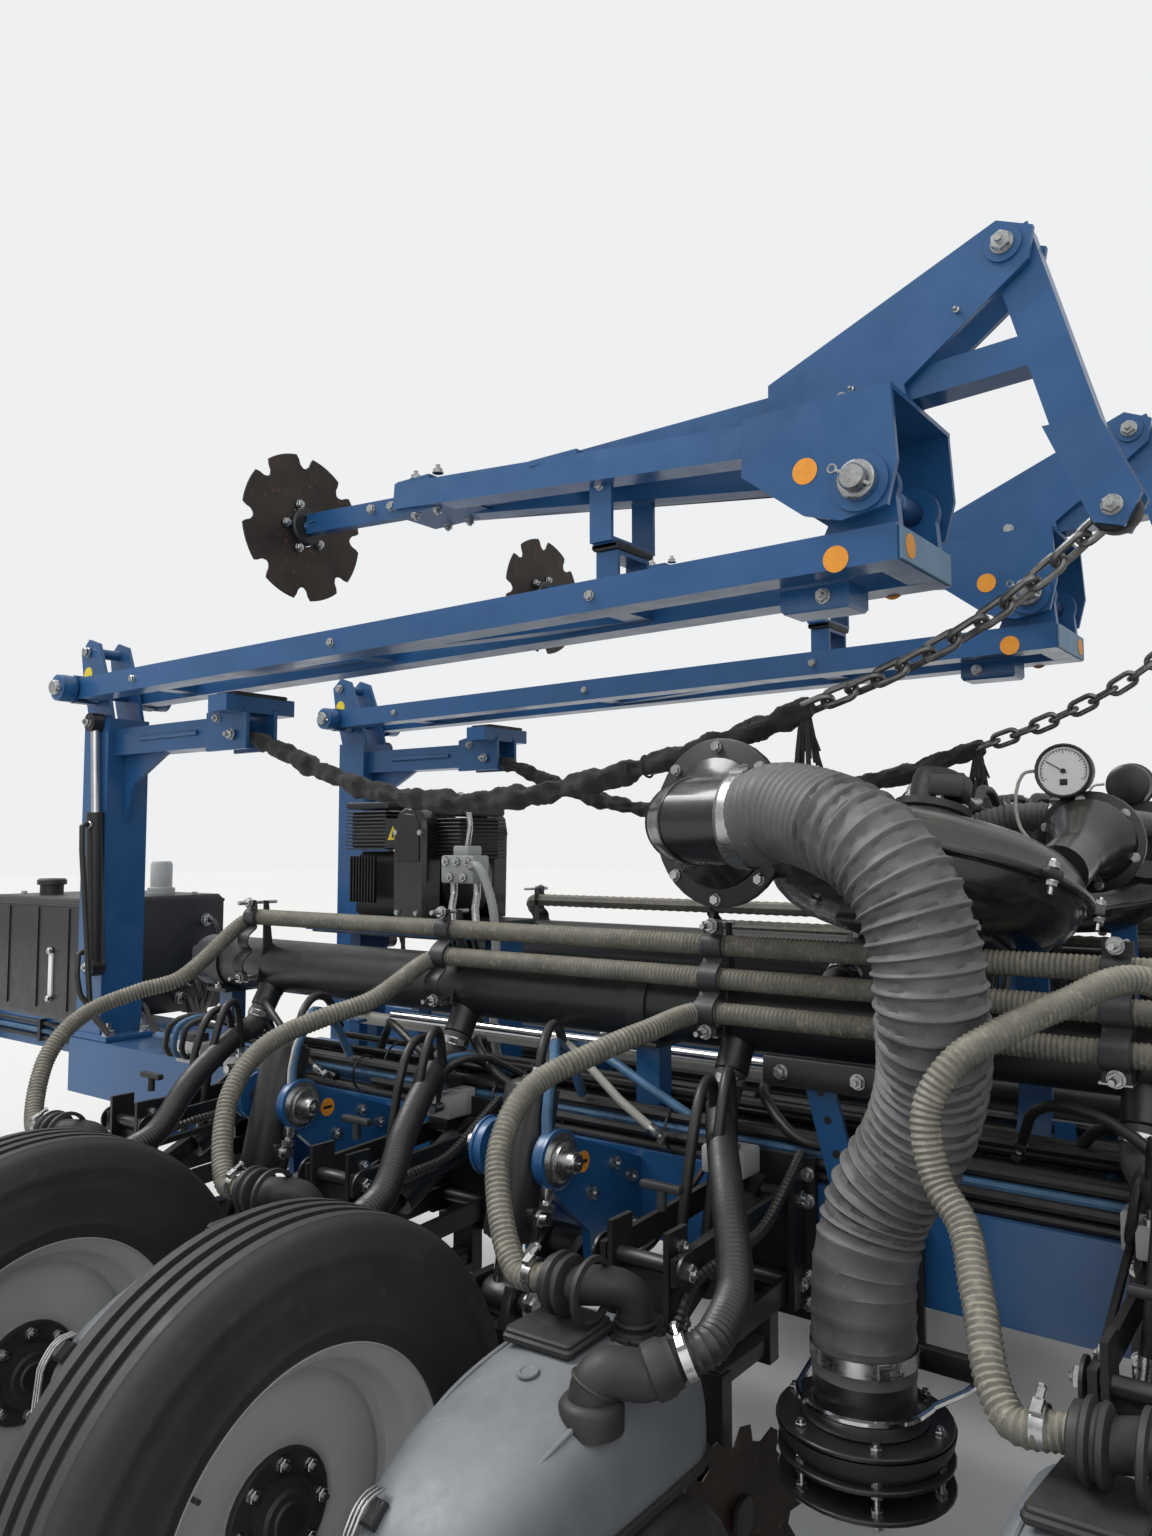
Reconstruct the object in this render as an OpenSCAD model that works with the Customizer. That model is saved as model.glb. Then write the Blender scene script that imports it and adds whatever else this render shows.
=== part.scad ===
// Front-folding row-crop seed planter, wings folded forward along the drawbar.
// X points forward, Y to the left, Z up. The wing hinge pins stand at x = 0 before the frame shift.

/* [Toolbar and rows] */
// Distance between crop rows
row_pitch = 762; // [720:1:800]
// Rows on each wing
wing_rows = 7; // [6:1:7]
// Side of the square toolbar tube
bar = 178; // [150:1:200]
// Height of the toolbar centre in transport
bar_z = 915; // [900:1:960]
// Distance of each wing hinge pin from the centre line
hinge_y = 420; // [400:1:440]
// Sideways offset of a folded wing toolbar from its hinge pin
wing_off = 150; // [140:1:170]
// Hinge pin to the first wing row
first_row = 723; // [700:1:760]
// Hinge pin to the outer end of the wing toolbar
wing_len = 6390; // [6380:1:6500]
// Hinge pin to the inner end of the wing toolbar
wing_gap = 45; // [40:1:60]
// Radius of the wing hinge pin
hinge_r = 25; // [20:1:30]

/* [Row units] */
// Opener disc diameter
disc_d = 380; // [340:1:390]
// Gauge wheel diameter
gauge_d = 405; // [380:1:420]
// Gauge wheel width
gauge_w = 105; // [80:1:114]
// Closing wheel diameter
closer_d = 300; // [260:1:310]
// Height of the disc axle below the toolbar centre
disc_drop = 415; // [400:1:430]
// Toolbar centre to the opener disc axle
disc_o = 650; // [640:1:660]
// Width of a meter cover
cover_w = 300; // [260:1:320]
// Length of a meter cover
cover_l = 550; // [520:1:560]

/* [Wing wheels] */
// Wing wheel diameter
wing_tyre_d = 900; // [860:1:920]
// Wing wheel width
wing_tyre_w = 205; // [180:1:220]
// Height of the raised wing wheel axle
wing_axle_z = 630; // [620:1:660]
// Toolbar centre to the wing wheel axle
wing_axle_o = 960; // [940:1:980]
// Lift cylinder barrel diameter
lift_d = 110; // [90:1:120]

/* [Marker] */
// Side of the square marker post
post_w = 150; // [130:1:160]
// Height of the marker post top
post_top = 2080; // [2050:1:2110]
// Hinge pin to the marker post centre
post_x = 6300; // [6290:1:6310]
// Height of the first marker pivot
piv_z = 2178; // [2170:1:2190]
// Distance between the first marker pivot and the knee pin
knee_run = 2810; // [2780:1:2830]
// Rise from the first pivot to the knee pin
knee_rise = 147; // [140:1:150]
// Marker disc diameter
mark_d = 440; // [400:1:460]
// Marker tube height
mark_h = 70; // [60:1:72]
// Marker tube width
mark_w = 75; // [60:1:76]

/* [Drawbar] */
// Side of the outer drawbar tube
draw_w = 200; // [190:1:220]
// Wall of the outer drawbar tube
draw_wall = 8; // [6:1:10]
// Gap between the outer and inner drawbar tubes
draw_gap = 6; // [5.5:0.5:8]
// Hinge pin to the mouth of the outer drawbar tube
draw_end = 6000; // [5980:1:6050]
// Hinge pin to the hitch bore
hitch_x = 8900; // [8850:1:9000]
// Height of the hitch
hitch_z = 520; // [480:1:560]
// Radius of the hitch bore
hitch_r = 20.5; // [16:0.5:26]
// Thickness of each hitch plate
hitch_t = 30; // [20:1:36]

/* [Transport wheels] */
// Transport tyre diameter
road_d = 1070; // [1040:1:1080]
// Transport tyre width
road_w = 386; // [360:1:388]
// Distance of the transport wheels from the centre line
road_y = 762; // [758:1:765]
// Transport axle behind the hinge line
axle_x = 2150; // [2140:1:2180]
// Transport arm pivot behind the hinge line
arm_x = 1560; // [1550:1:1570]
// Height of the transport arm pivot
arm_z = 760; // [750:1:770]

/* [Seed tanks] */
// Top height of the seed tanks
tank_top = 2560; // [2500:1:2600]
// Outer width of one seed tank
tank_w = 1010; // [960:1:1020]
// Length of the seed tanks
tank_l = 1790; // [1700:1:1800]
// Wall of the seed tanks
tank_t = 12; // [8:1:16]
// Radius of the filling mouth
mouth_r = 230; // [200:1:260]

/* [Air system] */
// Diameter of the vacuum manifold pipe
pipe_d = 150; // [130:1:160]
// Height of the vacuum manifold pipe
pipe_z = 1300; // [1290:1:1310]
// Hinge pin to the outer end of the manifold pipe
pipe_end = 5730; // [5700:1:5760]
// Diameter of a seed hose
seed_d = 46; // [40:1:50]
// Diameter of a vacuum hose
vac_d = 58; // [50:1:62]
// Diameter of the fan's exhaust hose
exh_d = 176; // [160:1:180]
// Fan housing diameter
fan_d = 620; // [580:1:630]

/* [Hidden] */
$fn = 48;
clr = 6;
fold_y = hinge_y + wing_off;
hb = bar / 2;
rail_end = tank_l + 510;
rear_x = -rail_end - 592;
front_x = hitch_x + 60;
mid_x = (rear_x + front_x) / 2;
piv_x = post_x + 30;
knee_x = piv_x - knee_run;
knee_z = piv_z + knee_rise;
inner_w = draw_w - 2 * draw_wall - 2 * draw_gap;
draw_z = bar_z - hb + draw_w / 2 - 85;
rail_w = 120;

// Frame shift: the origin lies under the middle of the whole machine.
module place() { translate([-mid_x, 0, 0]) children(); }
module flip(s) { if (s > 0) children(); else mirror([0, 1, 0]) children(); }
function row_x(i) = first_row + row_pitch * i;

// Straight members between two points.
module strut(a, b, w, h) {
  d = b - a;
  translate(a) rotate([0, 0, atan2(d[1], d[0])])
    rotate([0, -atan2(d[2], norm([d[0], d[1]])), 0])
      translate([0, -w / 2, -h / 2]) cube([norm(d), w, h]);
}
module rod(a, b, r) {
  d = b - a;
  translate(a) rotate([0, 0, atan2(d[1], d[0])])
    rotate([0, 90 - atan2(d[2], norm([d[0], d[1]])), 0]) cylinder(h = norm(d), r = r);
}
module box(c, s) { translate(c) cube(s, center = true); }
module ycyl(x, y0, y1, z, r) {
  translate([x, y0, z]) rotate([-90, 0, 0]) cylinder(h = y1 - y0, r = r);
}
module xcyl(x0, x1, y, z, r) {
  translate([x0, y, z]) rotate([0, 90, 0]) cylinder(h = x1 - x0, r = r);
}
module zcyl(x, y, z0, z1, r) { translate([x, y, z0]) cylinder(h = z1 - z0, r = r); }
// A flat plate drawn in X-Z, from y0 to y1.
module yplate(pts, y0, y1) {
  translate([0, y1, 0]) rotate([90, 0, 0]) linear_extrude(y1 - y0) polygon(pts);
}
// A flat plate drawn in Y-Z, from x0 to x1.
module xplate(pts, x0, x1) {
  translate([x0, 0, 0]) rotate([90, 0, 90]) linear_extrude(x1 - x0) polygon(pts);
}

// Swept hose through hand-chosen points, its slope at each point set by that point's neighbours.
function slope(P, i) = unit(P[min(i + 1, len(P) - 1)] - P[max(i - 1, 0)]);
function smooth(P, k) = concat([for (i = [0:len(P) - 2]) for (j = [0:(norm(P[i + 1] - P[i]) > 700 ? 0 : k - 1)])
  let (t = j / k, a = P[i], b = P[i + 1], L = norm(b - a), m = L * slope(P, i), n = L * slope(P, i + 1))
  (2 * t * t * t - 3 * t * t + 1) * a + (t * t * t - 2 * t * t + t) * m
    + (3 * t * t - 2 * t * t * t) * b + (t * t * t - t * t) * n], [P[len(P) - 1]]);
function unit(v) = v / norm(v);
function tang(Q, P, i) = i == 0 ? slope(P, 0) : i == len(Q) - 1 ? slope(P, len(P) - 1) :
  unit(Q[i + 1] - Q[i - 1]);
function carry(Q, P, n, i) = i >= len(Q) ? [] :
  let (t = tang(Q, P, i), m = unit(n - (n * t) * t)) concat([m], carry(Q, P, m, i + 1));
module hose(P, d, k = 3, n = 8) {
  Q = smooth(P, k);
  t0 = slope(P, 0);
  N = carry(Q, P, abs(t0[2]) > 0.9 ? [1, 0, 0] : [0, 0, 1], 0);
  pts = [for (i = [0:len(Q) - 1]) for (j = [0:n - 1])
    let (b = cross(tang(Q, P, i), N[i])) Q[i] + d / 2 * (cos(360 * j / n) * N[i] + sin(360 * j / n) * b)];
  L = len(Q) - 1;
  polyhedron(pts, concat([[for (j = [0:n - 1]) j]], [[for (j = [0:n - 1]) L * n + n - 1 - j]],
    [for (i = [0:L - 1]) for (j = [0:n - 1]) [i * n + j, (i + 1) * n + j, i * n + (j + 1) % n]],
    [for (i = [0:L - 1]) for (j = [0:n - 1])
      [(i + 1) * n + j, (i + 1) * n + (j + 1) % n, i * n + (j + 1) % n]]), convexity = 10);
}

// Row unit, drawn outboard of the toolbar centre.
shank_o = disc_o - 110;
arm_in = 125;
arm_out = shank_o - 20;
cover_o = disc_o - 100;
cover_z = -190;
skirt_z = disc_d / 2 - disc_drop + 3;
module row_frame() {
  // faceplate and its cheeks
  box([0, hb + 8, -10], [220, 16, 300]);
  for (s = [-1, 1]) {
    box([s * 85, hb + 42, -10], [12, 52, 240]);
    // parallel arms
    for (z = [70, -90]) xplate([[arm_in - 25, z - 22], [arm_out + 25, z - 42], [arm_out + 25, z + 2],
      [arm_in - 25, z + 22]], s > 0 ? 64 : -76, s > 0 ? 76 : -64);
    // shank side plates
    xplate([[arm_out - 35, 110], [cover_o - 5, 110], [cover_o - 5, skirt_z], [disc_o + 420, skirt_z],
      [disc_o + 420, skirt_z - 60], [disc_o + 190, skirt_z - 78], [disc_o + 90, -disc_drop - 30],
      [disc_o + 30, -disc_drop - 30], [disc_o + 60, -330], [disc_o - 60, -330],
      [arm_out - 35, -190]], s > 0 ? 50 : -60, s > 0 ? 60 : -50);
    // gauge wheel stubs
    xcyl(s > 0 ? 50 : -66, s > 0 ? 66 : -50, disc_o + 60, -disc_drop, 16);
  }
  for (q = [[arm_in, 70], [arm_in, -90], [arm_out, 50], [arm_out, -110]]) xcyl(-80, 80, q[0], q[1], 14);
  // down-force cylinder
  strut([0, arm_in - 20, 78], [0, arm_out + 20, -118], 26, 40);
  rod([0, arm_in + 40, 50], [0, arm_in + 220, -43], 34);
  // cross bars of the shank
  box([0, arm_out - 15, 0], [102, 30, 60]);
  box([0, disc_o + 390, skirt_z - 30], [102, 50, 60]);
  // opener shank and axle
  box([0, disc_o - 20, (skirt_z + 10 - disc_drop - 70) / 2], [24, 110, skirt_z + 80 + disc_drop]);
  xcyl(-12, 12, disc_o, -disc_drop, 34);
  // closing wheel arm
  xplate([[disc_o + 370, skirt_z], [disc_o + 420, skirt_z], [disc_o + 515, -disc_drop - 5],
    [disc_o + 515, -disc_drop - 40], [disc_o + 470, -disc_drop - 40], [disc_o + 370, skirt_z - 40]], -25, 25);
  xcyl(-62, 62, disc_o + 490, -disc_drop - 20, 12);
  // meter housing under the cover
  box([0, cover_o + cover_l / 2 - 10, (skirt_z + cover_z) / 2], [120, cover_l - 60, cover_z - skirt_z]);
}
module row_discs() {
  for (s = [-1, 1]) {
    translate([s * 20, disc_o, -disc_drop]) rotate([0, 0, s * 2]) rotate([0, 90, 0])
      cylinder(h = 4, d = disc_d, center = true);
    xcyl(s > 0 ? 12 : -34, s > 0 ? 34 : -12, disc_o, -disc_drop, 40);
  }
}
module row_wheels() {
  for (s = [-1, 1]) {
    xcyl(s > 0 ? 66 : -66 - gauge_w, s > 0 ? 66 + gauge_w : -66, disc_o + 60, -disc_drop, gauge_d / 2);
    xcyl(s > 0 ? 62 : -88, s > 0 ? 88 : -62, disc_o + 490, -disc_drop - 20, closer_d / 2);
  }
}
// the vacuum hose's end at the cover and the line of its stub
vac_p = [-190, 745, 16];
vac_v = [35, 30, -19];
seed_o = 700;
seed_x = -10;
seed_h = 60;
module meter_cover() {
  intersection() {
    xplate([[cover_o, cover_z], [cover_o, -40], [cover_o + 40, -14], [cover_o + 220, -20],
      [cover_o + 390, -60], [cover_o + cover_l - 40, -130], [cover_o + cover_l, cover_z]],
      -cover_w / 2, cover_w / 2);
    translate([0, 0, -300]) linear_extrude(320)
      polygon([[-cover_w / 2, cover_o], [cover_w / 2, cover_o], [cover_w / 2, cover_o + 300],
        [cover_w / 3, cover_o + cover_l], [-cover_w / 3, cover_o + cover_l], [-cover_w / 2, cover_o + 300]]);
  }
  // seed coupling
  zcyl(seed_x, seed_o, -30, seed_h + 30, 32);
  xcyl(seed_x, seed_x + 70, seed_o, seed_h, 30);
}
module vac_stub() {
  rod(vac_p, vac_p + 2.4 * vac_v, 33);
  zcyl(-106, 817, -60, 6, 36);
}
module wing_units(s) {
  for (i = [0:wing_rows - 1]) flip(s) translate([row_x(i), fold_y, bar_z]) children([0:$children - 1]);
}
module center_units() {
  for (s = [-1, 1]) translate([-wing_off, s * row_pitch / 2, bar_z]) rotate([0, 0, 90]) children();
}
module row_frames_n(s) { place() color("#2a2b2d") wing_units(s) row_frame(); }
module row_discs_n(s) { place() color("#5c544c") wing_units(s) row_discs(); }
module row_wheels_n(s) { place() color("#202122") wing_units(s) row_wheels(); }
module meter_covers_n(s) { place() color("#4d5154") wing_units(s) { meter_cover(); vac_stub(); } }
module center_row_frames() { place() color("#2a2b2d") center_units() row_frame(); }
module center_row_discs() { place() color("#5c544c") center_units() row_discs(); }
module center_row_wheels() { place() color("#202122") center_units() row_wheels(); }
module center_meter_covers() { place() color("#4d5154") center_units() meter_cover(); }

// Centre frame.
ear_t = 20;
knuckle_h = 110;
arm_pin = 30;
module center_frame() {
  place() color("#1d5a9c") {
    box([-wing_off, 0, bar_z], [bar, 2 * hinge_y + 50, bar]);
    for (s = [-1, 1]) {
      // hinge knuckles
      difference() {
        union() {
          zcyl(0, s * hinge_y, bar_z - knuckle_h, bar_z + knuckle_h, 45);
          box([(-wing_off + hb - 25) / 2, s * (hinge_y - 10), bar_z], [wing_off - hb + 25, 70, 178]);
        }
        zcyl(0, s * hinge_y, bar_z - knuckle_h - 1, bar_z + knuckle_h + 1, hinge_r + 0.3);
      }
      // rails between the centre rows
      box([-(wing_off + hb) - (rail_end - wing_off - hb) / 2, s * 130, bar_z + 25],
        [rail_end - wing_off - hb, rail_w, 160]);
    }
    // rear axle beam with its ears and pins
    box([-arm_x - 40, 0, bar_z + 25], [160, 1060, 160]);
    for (s = [-1, 1]) {
      for (y = [442, 532]) yplate([[-arm_x - 90, bar_z - 40], [-arm_x + 60, bar_z - 40],
        [-arm_x + 55, arm_z - 60], [-arm_x - 55, arm_z - 60]], s * y - 9, s * y + 9);
      ycyl(-arm_x, s > 0 ? 430 : -550, s > 0 ? 550 : -430, arm_z, arm_pin);
    }
    // outer drawbar tube with the wing rests, open for the inner tube
    difference() {
      union() {
        box([(draw_end - wing_off + hb) / 2, 0, draw_z], [draw_end + wing_off - hb, draw_w, draw_w]);
        box([draw_end - 90, 0, bar_z - hb - clr - 40], [120, 1320, 80]);
        translate([0, 0, draw_z - 60]) linear_extrude(20)
          polygon([[-wing_off + hb - 10, -330], [-wing_off + hb - 10, 330], [60, 330], [600, 90],
            [600, -90], [60, -330]]);
      }
      box([draw_end - 1700, 0, draw_z],
        [3600, draw_w - 2 * draw_wall, draw_w - 2 * draw_wall]);
    }
    // power unit stand
    for (x = [5020, 5640]) box([x, 0, (draw_z + draw_w / 2 + 1370) / 2],
      [50, 120, 1370 - draw_z - draw_w / 2]);
    box([5350, 0, 1380], [740, 420, 20]);
    // tank stand, cut to the slope of the tanks
    difference() {
      for (s = [-1, 1]) {
        for (x = [-700, 60 - rail_end])
          box([x, s * 130, (bar_z + 100 + 1430) / 2], [80, 80, 1430 - bar_z - 100]);
        box([-700, s * 505, 1480], [80, 830, 160]);
        strut([-700, s * 130, 1120], [-700, s * 640, 1430], 60, 60);
        box([60 - rail_end, s * 313, 1470], [80, 445, 140]);
        strut([60 - rail_end, s * 130, 1150], [60 - rail_end, s * 500, 1430], 60, 60);
      }
      for (s = [-1, 1]) flip(s) tank_body(-0.3);
    }
  }
}

// Drawbar inner tube, hitch, jack, oil tank.
jack_x = 8330;
jack_y = 190;
jack_z0 = 440;
jack_z1 = 1160;
leg_w = 57;
leg_top = 700;
module tongue() {
  place() color("#1d5a9c") {
    difference() {
      union() {
        box([(4700 + hitch_x - 150) / 2, 0, draw_z], [hitch_x - 150 - 4700, inner_w, inner_w]);
        // wear collar inside the outer tube
        box([4760, 0, draw_z], [120, inner_w + 2 * draw_gap - 0.6, inner_w + 2 * draw_gap - 0.6]);
        // drop plates to the hitch
        for (s = [-1, 1]) yplate([[hitch_x - 420, draw_z + 90], [hitch_x - 130, draw_z + 90],
          [hitch_x - 60, hitch_z + 60], [hitch_x - 60, hitch_z - 60], [hitch_x - 240, hitch_z - 60]],
          s > 0 ? inner_w / 2 : -inner_w / 2 - 14, s > 0 ? inner_w / 2 + 14 : -inner_w / 2);
        box([hitch_x - 150, 0, hitch_z], [180, inner_w + 28, 120]);
        for (s = [-1, 1]) translate([0, 0, hitch_z + s * (hitch_t / 2 + 28) - hitch_t / 2])
          linear_extrude(hitch_t) difference() {
            union() {
              translate([hitch_x - 140, -60]) square([140, 120]);
              translate([hitch_x, 0]) circle(r = 60);
            }
            translate([hitch_x, 0]) circle(r = hitch_r);
          }
        // jack outer tube
        box([jack_x, (inner_w / 2 + jack_y - 45) / 2, draw_z], [160, jack_y - 45 - inner_w / 2 + 20, 120]);
        zcyl(jack_x, jack_y, jack_z0, jack_z1, 56);
      }
      box([jack_x, jack_y, (jack_z0 + jack_z1) / 2 - 25], [70, 70, jack_z1 - jack_z0 - 50 + 0.01]);
    }
    for (t = [-1, 1]) {
      box([jack_x + t * (leg_w / 2 + 0.3 + 3), jack_y, jack_z0 + 20], [6, 70, 40]);
      box([jack_x, jack_y + t * (leg_w / 2 + 0.3 + 3), jack_z0 + 20], [70, 6, 40]);
    }
    // crank head
    ycyl(jack_x, jack_y + 50, jack_y + 95, jack_z1 - 20, 14);
    strut([jack_x, jack_y + 85, jack_z1 - 20], [jack_x + 120, jack_y + 85, jack_z1 - 60], 12, 20);
  }
}
module jack_leg() {
  place() color("#26282b") {
    box([jack_x, jack_y, (leg_top + 20) / 2], [leg_w, leg_w, leg_top - 20]);
    box([jack_x, jack_y, leg_top - 20], [69.4, 69.4, 40]);
    zcyl(jack_x, jack_y, 0, 20, 130);
  }
}
oil_h = 490;
module oil_tank() {
  place() color("#232427") {
    oil_b = draw_z + draw_w / 2 + 8;
    box([7300, 0, oil_b + oil_h / 2], [760, 640, oil_h]);
    box([7380, 0, (oil_b + draw_z + inner_w / 2 + 5) / 2], [500, 150, oil_b - draw_z - inner_w / 2 + 5]);
    box([7300, 0, oil_b + oil_h + 10], [60, 90, 30]);
    zcyl(7480, 160, oil_b + oil_h - 10, oil_b + oil_h + 50, 45);
  }
}
module power_unit() {
  place() color("#26282a") {
    box([5370, 0, 1400], [640, 390, 20]);
    // crankcase, pulley end, two finned heads
    box([5390, 0, 1520], [390, 250, 220]);
    xcyl(5145, 5235, 0, 1540, 112);
    box([5480, 0, 1710], [200, 330, 166]);
    box([5150, 40, 1690], [156, 210, 156]);
    for (s = [-1, 1]) {
      yplate([[5178, 1405], [5300, 1405], [5316, 1440], [5318, 1700], [5300, 1752], [5260, 1774],
        [5210, 1768], [5180, 1740], [5172, 1700]], s > 0 ? 120 : -200, s > 0 ? 200 : -120);
      box([5352, s * 146, 1688], [76, 50, 100]);
    }
    box([5050, 150, 1590], [130, 70, 110]);
  }
}

// Rear: tanks, lids, platform, wheels.
tank_x0 = -560 - tank_l;
tank_x1 = -560;
tank_y0 = 40;
tank_b = 1130;
tank_sh = 1560;
module tank_body(t) {
  intersection() {
    yplate([[tank_x0 + t, tank_sh], [tank_x0 + t, tank_top - t], [tank_x1 - t, tank_top - t],
      [tank_x1 - t, tank_sh], [-1250 - t, tank_b + t], [-1650 + t, tank_b + t]], tank_y0, tank_y0 + tank_w);
    xplate([[tank_y0 + t, tank_sh], [tank_y0 + t, tank_top - t], [tank_y0 + tank_w - t, tank_top - t],
      [tank_y0 + tank_w - t, tank_sh + t], [540 - t, tank_sh - 40 + t], [400 - t, tank_b + t],
      [230 + t, tank_b + t]], tank_x0, tank_x1);
  }
}
lid_x = (tank_x0 + tank_x1) / 2;
lid_y = tank_y0 + tank_w / 2;
module seed_tank_n(s) {
  place() color("#c9ccce") flip(s) difference() {
    union() {
      tank_body(0);
      zcyl(lid_x, lid_y, tank_top - 5, tank_top + 60, mouth_r + 14);
      box([lid_x + mouth_r + 40, lid_y, tank_top + 20], [60, 160, 60]);
      for (t = [-1, 1]) difference() {
        box([lid_x + mouth_r + 75, lid_y + t * 62, tank_top + 55], [50, 14, 90]);
        ycyl(lid_x + mouth_r + 80, lid_y - 100, lid_y + 100, tank_top + 81, 12.3);
      }
    }
    tank_body(tank_t);
    zcyl(lid_x, lid_y, tank_top - 60, tank_top + 80, mouth_r);
  }
}
module tank_lid_n(s) {
  place() color("#26282b") flip(s) {
    zcyl(lid_x, lid_y, tank_top + 60.3, tank_top + 96, mouth_r + 25);
    zcyl(lid_x, lid_y, tank_top + 90, tank_top + 120, mouth_r - 60);
    box([lid_x + mouth_r + 45, lid_y, tank_top + 81], [70, 80, 26]);
    ycyl(lid_x + mouth_r + 80, lid_y - 70, lid_y + 70, tank_top + 81, 12);
  }
}
module platform() {
  place() color("#26282a") translate([-rail_end, 0, 0]) {
    box([-320, 0, 1120], [480, 1120, 40]);
    for (s = [-1, 1]) {
      yplate([[0, bar_z - 30], [0, bar_z + 90], [-100, 1105], [-300, 1105], [-300, 1085]],
        s * 130 - 30, s * 130 + 30);
      rod([-540, s * 540, 1130], [-540, s * 540, 2180], 20);
      rod([-120, s * 540, 1130], [-120, s * 540, 2180], 20);
      rod([-120, s * 540, 2180], [-540, s * 540, 2180], 20);
      rod([-120, s * 540, 1650], [-540, s * 540, 1650], 16);
      // ladder
      rod([-570, s * 220, 420], [-570, s * 220, 2080], 20);
    }
    for (z = [470:300:1070]) box([-562, 0, z], [60, 440, 30]);
    for (s = [-1, 1]) box([-555, s * 220, 1120], [50, 40, 40]);
  }
}
module road_arm_n(s) {
  place() color("#1d5a9c") flip(s) {
    difference() {
      union() {
        strut([-arm_x, 487, arm_z], [-axle_x, 487, road_d / 2], 50, 110);
        ycyl(-arm_x, 458, 516, arm_z, 64);
        ycyl(-axle_x, 458, 530, road_d / 2, 75);
      }
      ycyl(-arm_x, 400, 600, arm_z, arm_pin + 0.3);
    }
    ycyl(-axle_x, 525, road_y + 39, road_d / 2, 45);
  }
}
module road_rim_n(s) {
  place() color("#c4c7c9") flip(s) {
    translate([-axle_x, road_y, road_d / 2]) rotate([-90, 0, 0]) difference() {
      union() {
        difference() {
          cylinder(h = road_w - 70, r = 292, center = true);
          translate([0, 0, 30]) cylinder(h = road_w, r = 270);
          translate([0, 0, -road_w - 0]) cylinder(h = road_w, r = 270);
        }
        translate([0, 0, -70]) cylinder(h = 180, r = 110);
      }
      translate([0, 0, -road_w]) cylinder(h = road_w + 40, r = 45.3);
    }
  }
}
module road_tyre_n(s) {
  place() color("#1e1f20") flip(s) {
    translate([-axle_x, road_y, road_d / 2]) rotate([-90, 0, 0]) rotate_extrude($fn = 96)
      polygon([[292, -road_w / 2 + 35], [330, -road_w / 2 + 8], [430, -road_w / 2],
        [500, -road_w / 2 + 14], [road_d / 2 - 6, -road_w / 2 + 45], [road_d / 2, -road_w / 2 + 80],
        [road_d / 2, road_w / 2 - 80], [road_d / 2 - 6, road_w / 2 - 45], [500, road_w / 2 - 14],
        [430, road_w / 2], [330, road_w / 2 - 8], [292, road_w / 2 - 35]]);
  }
}

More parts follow.
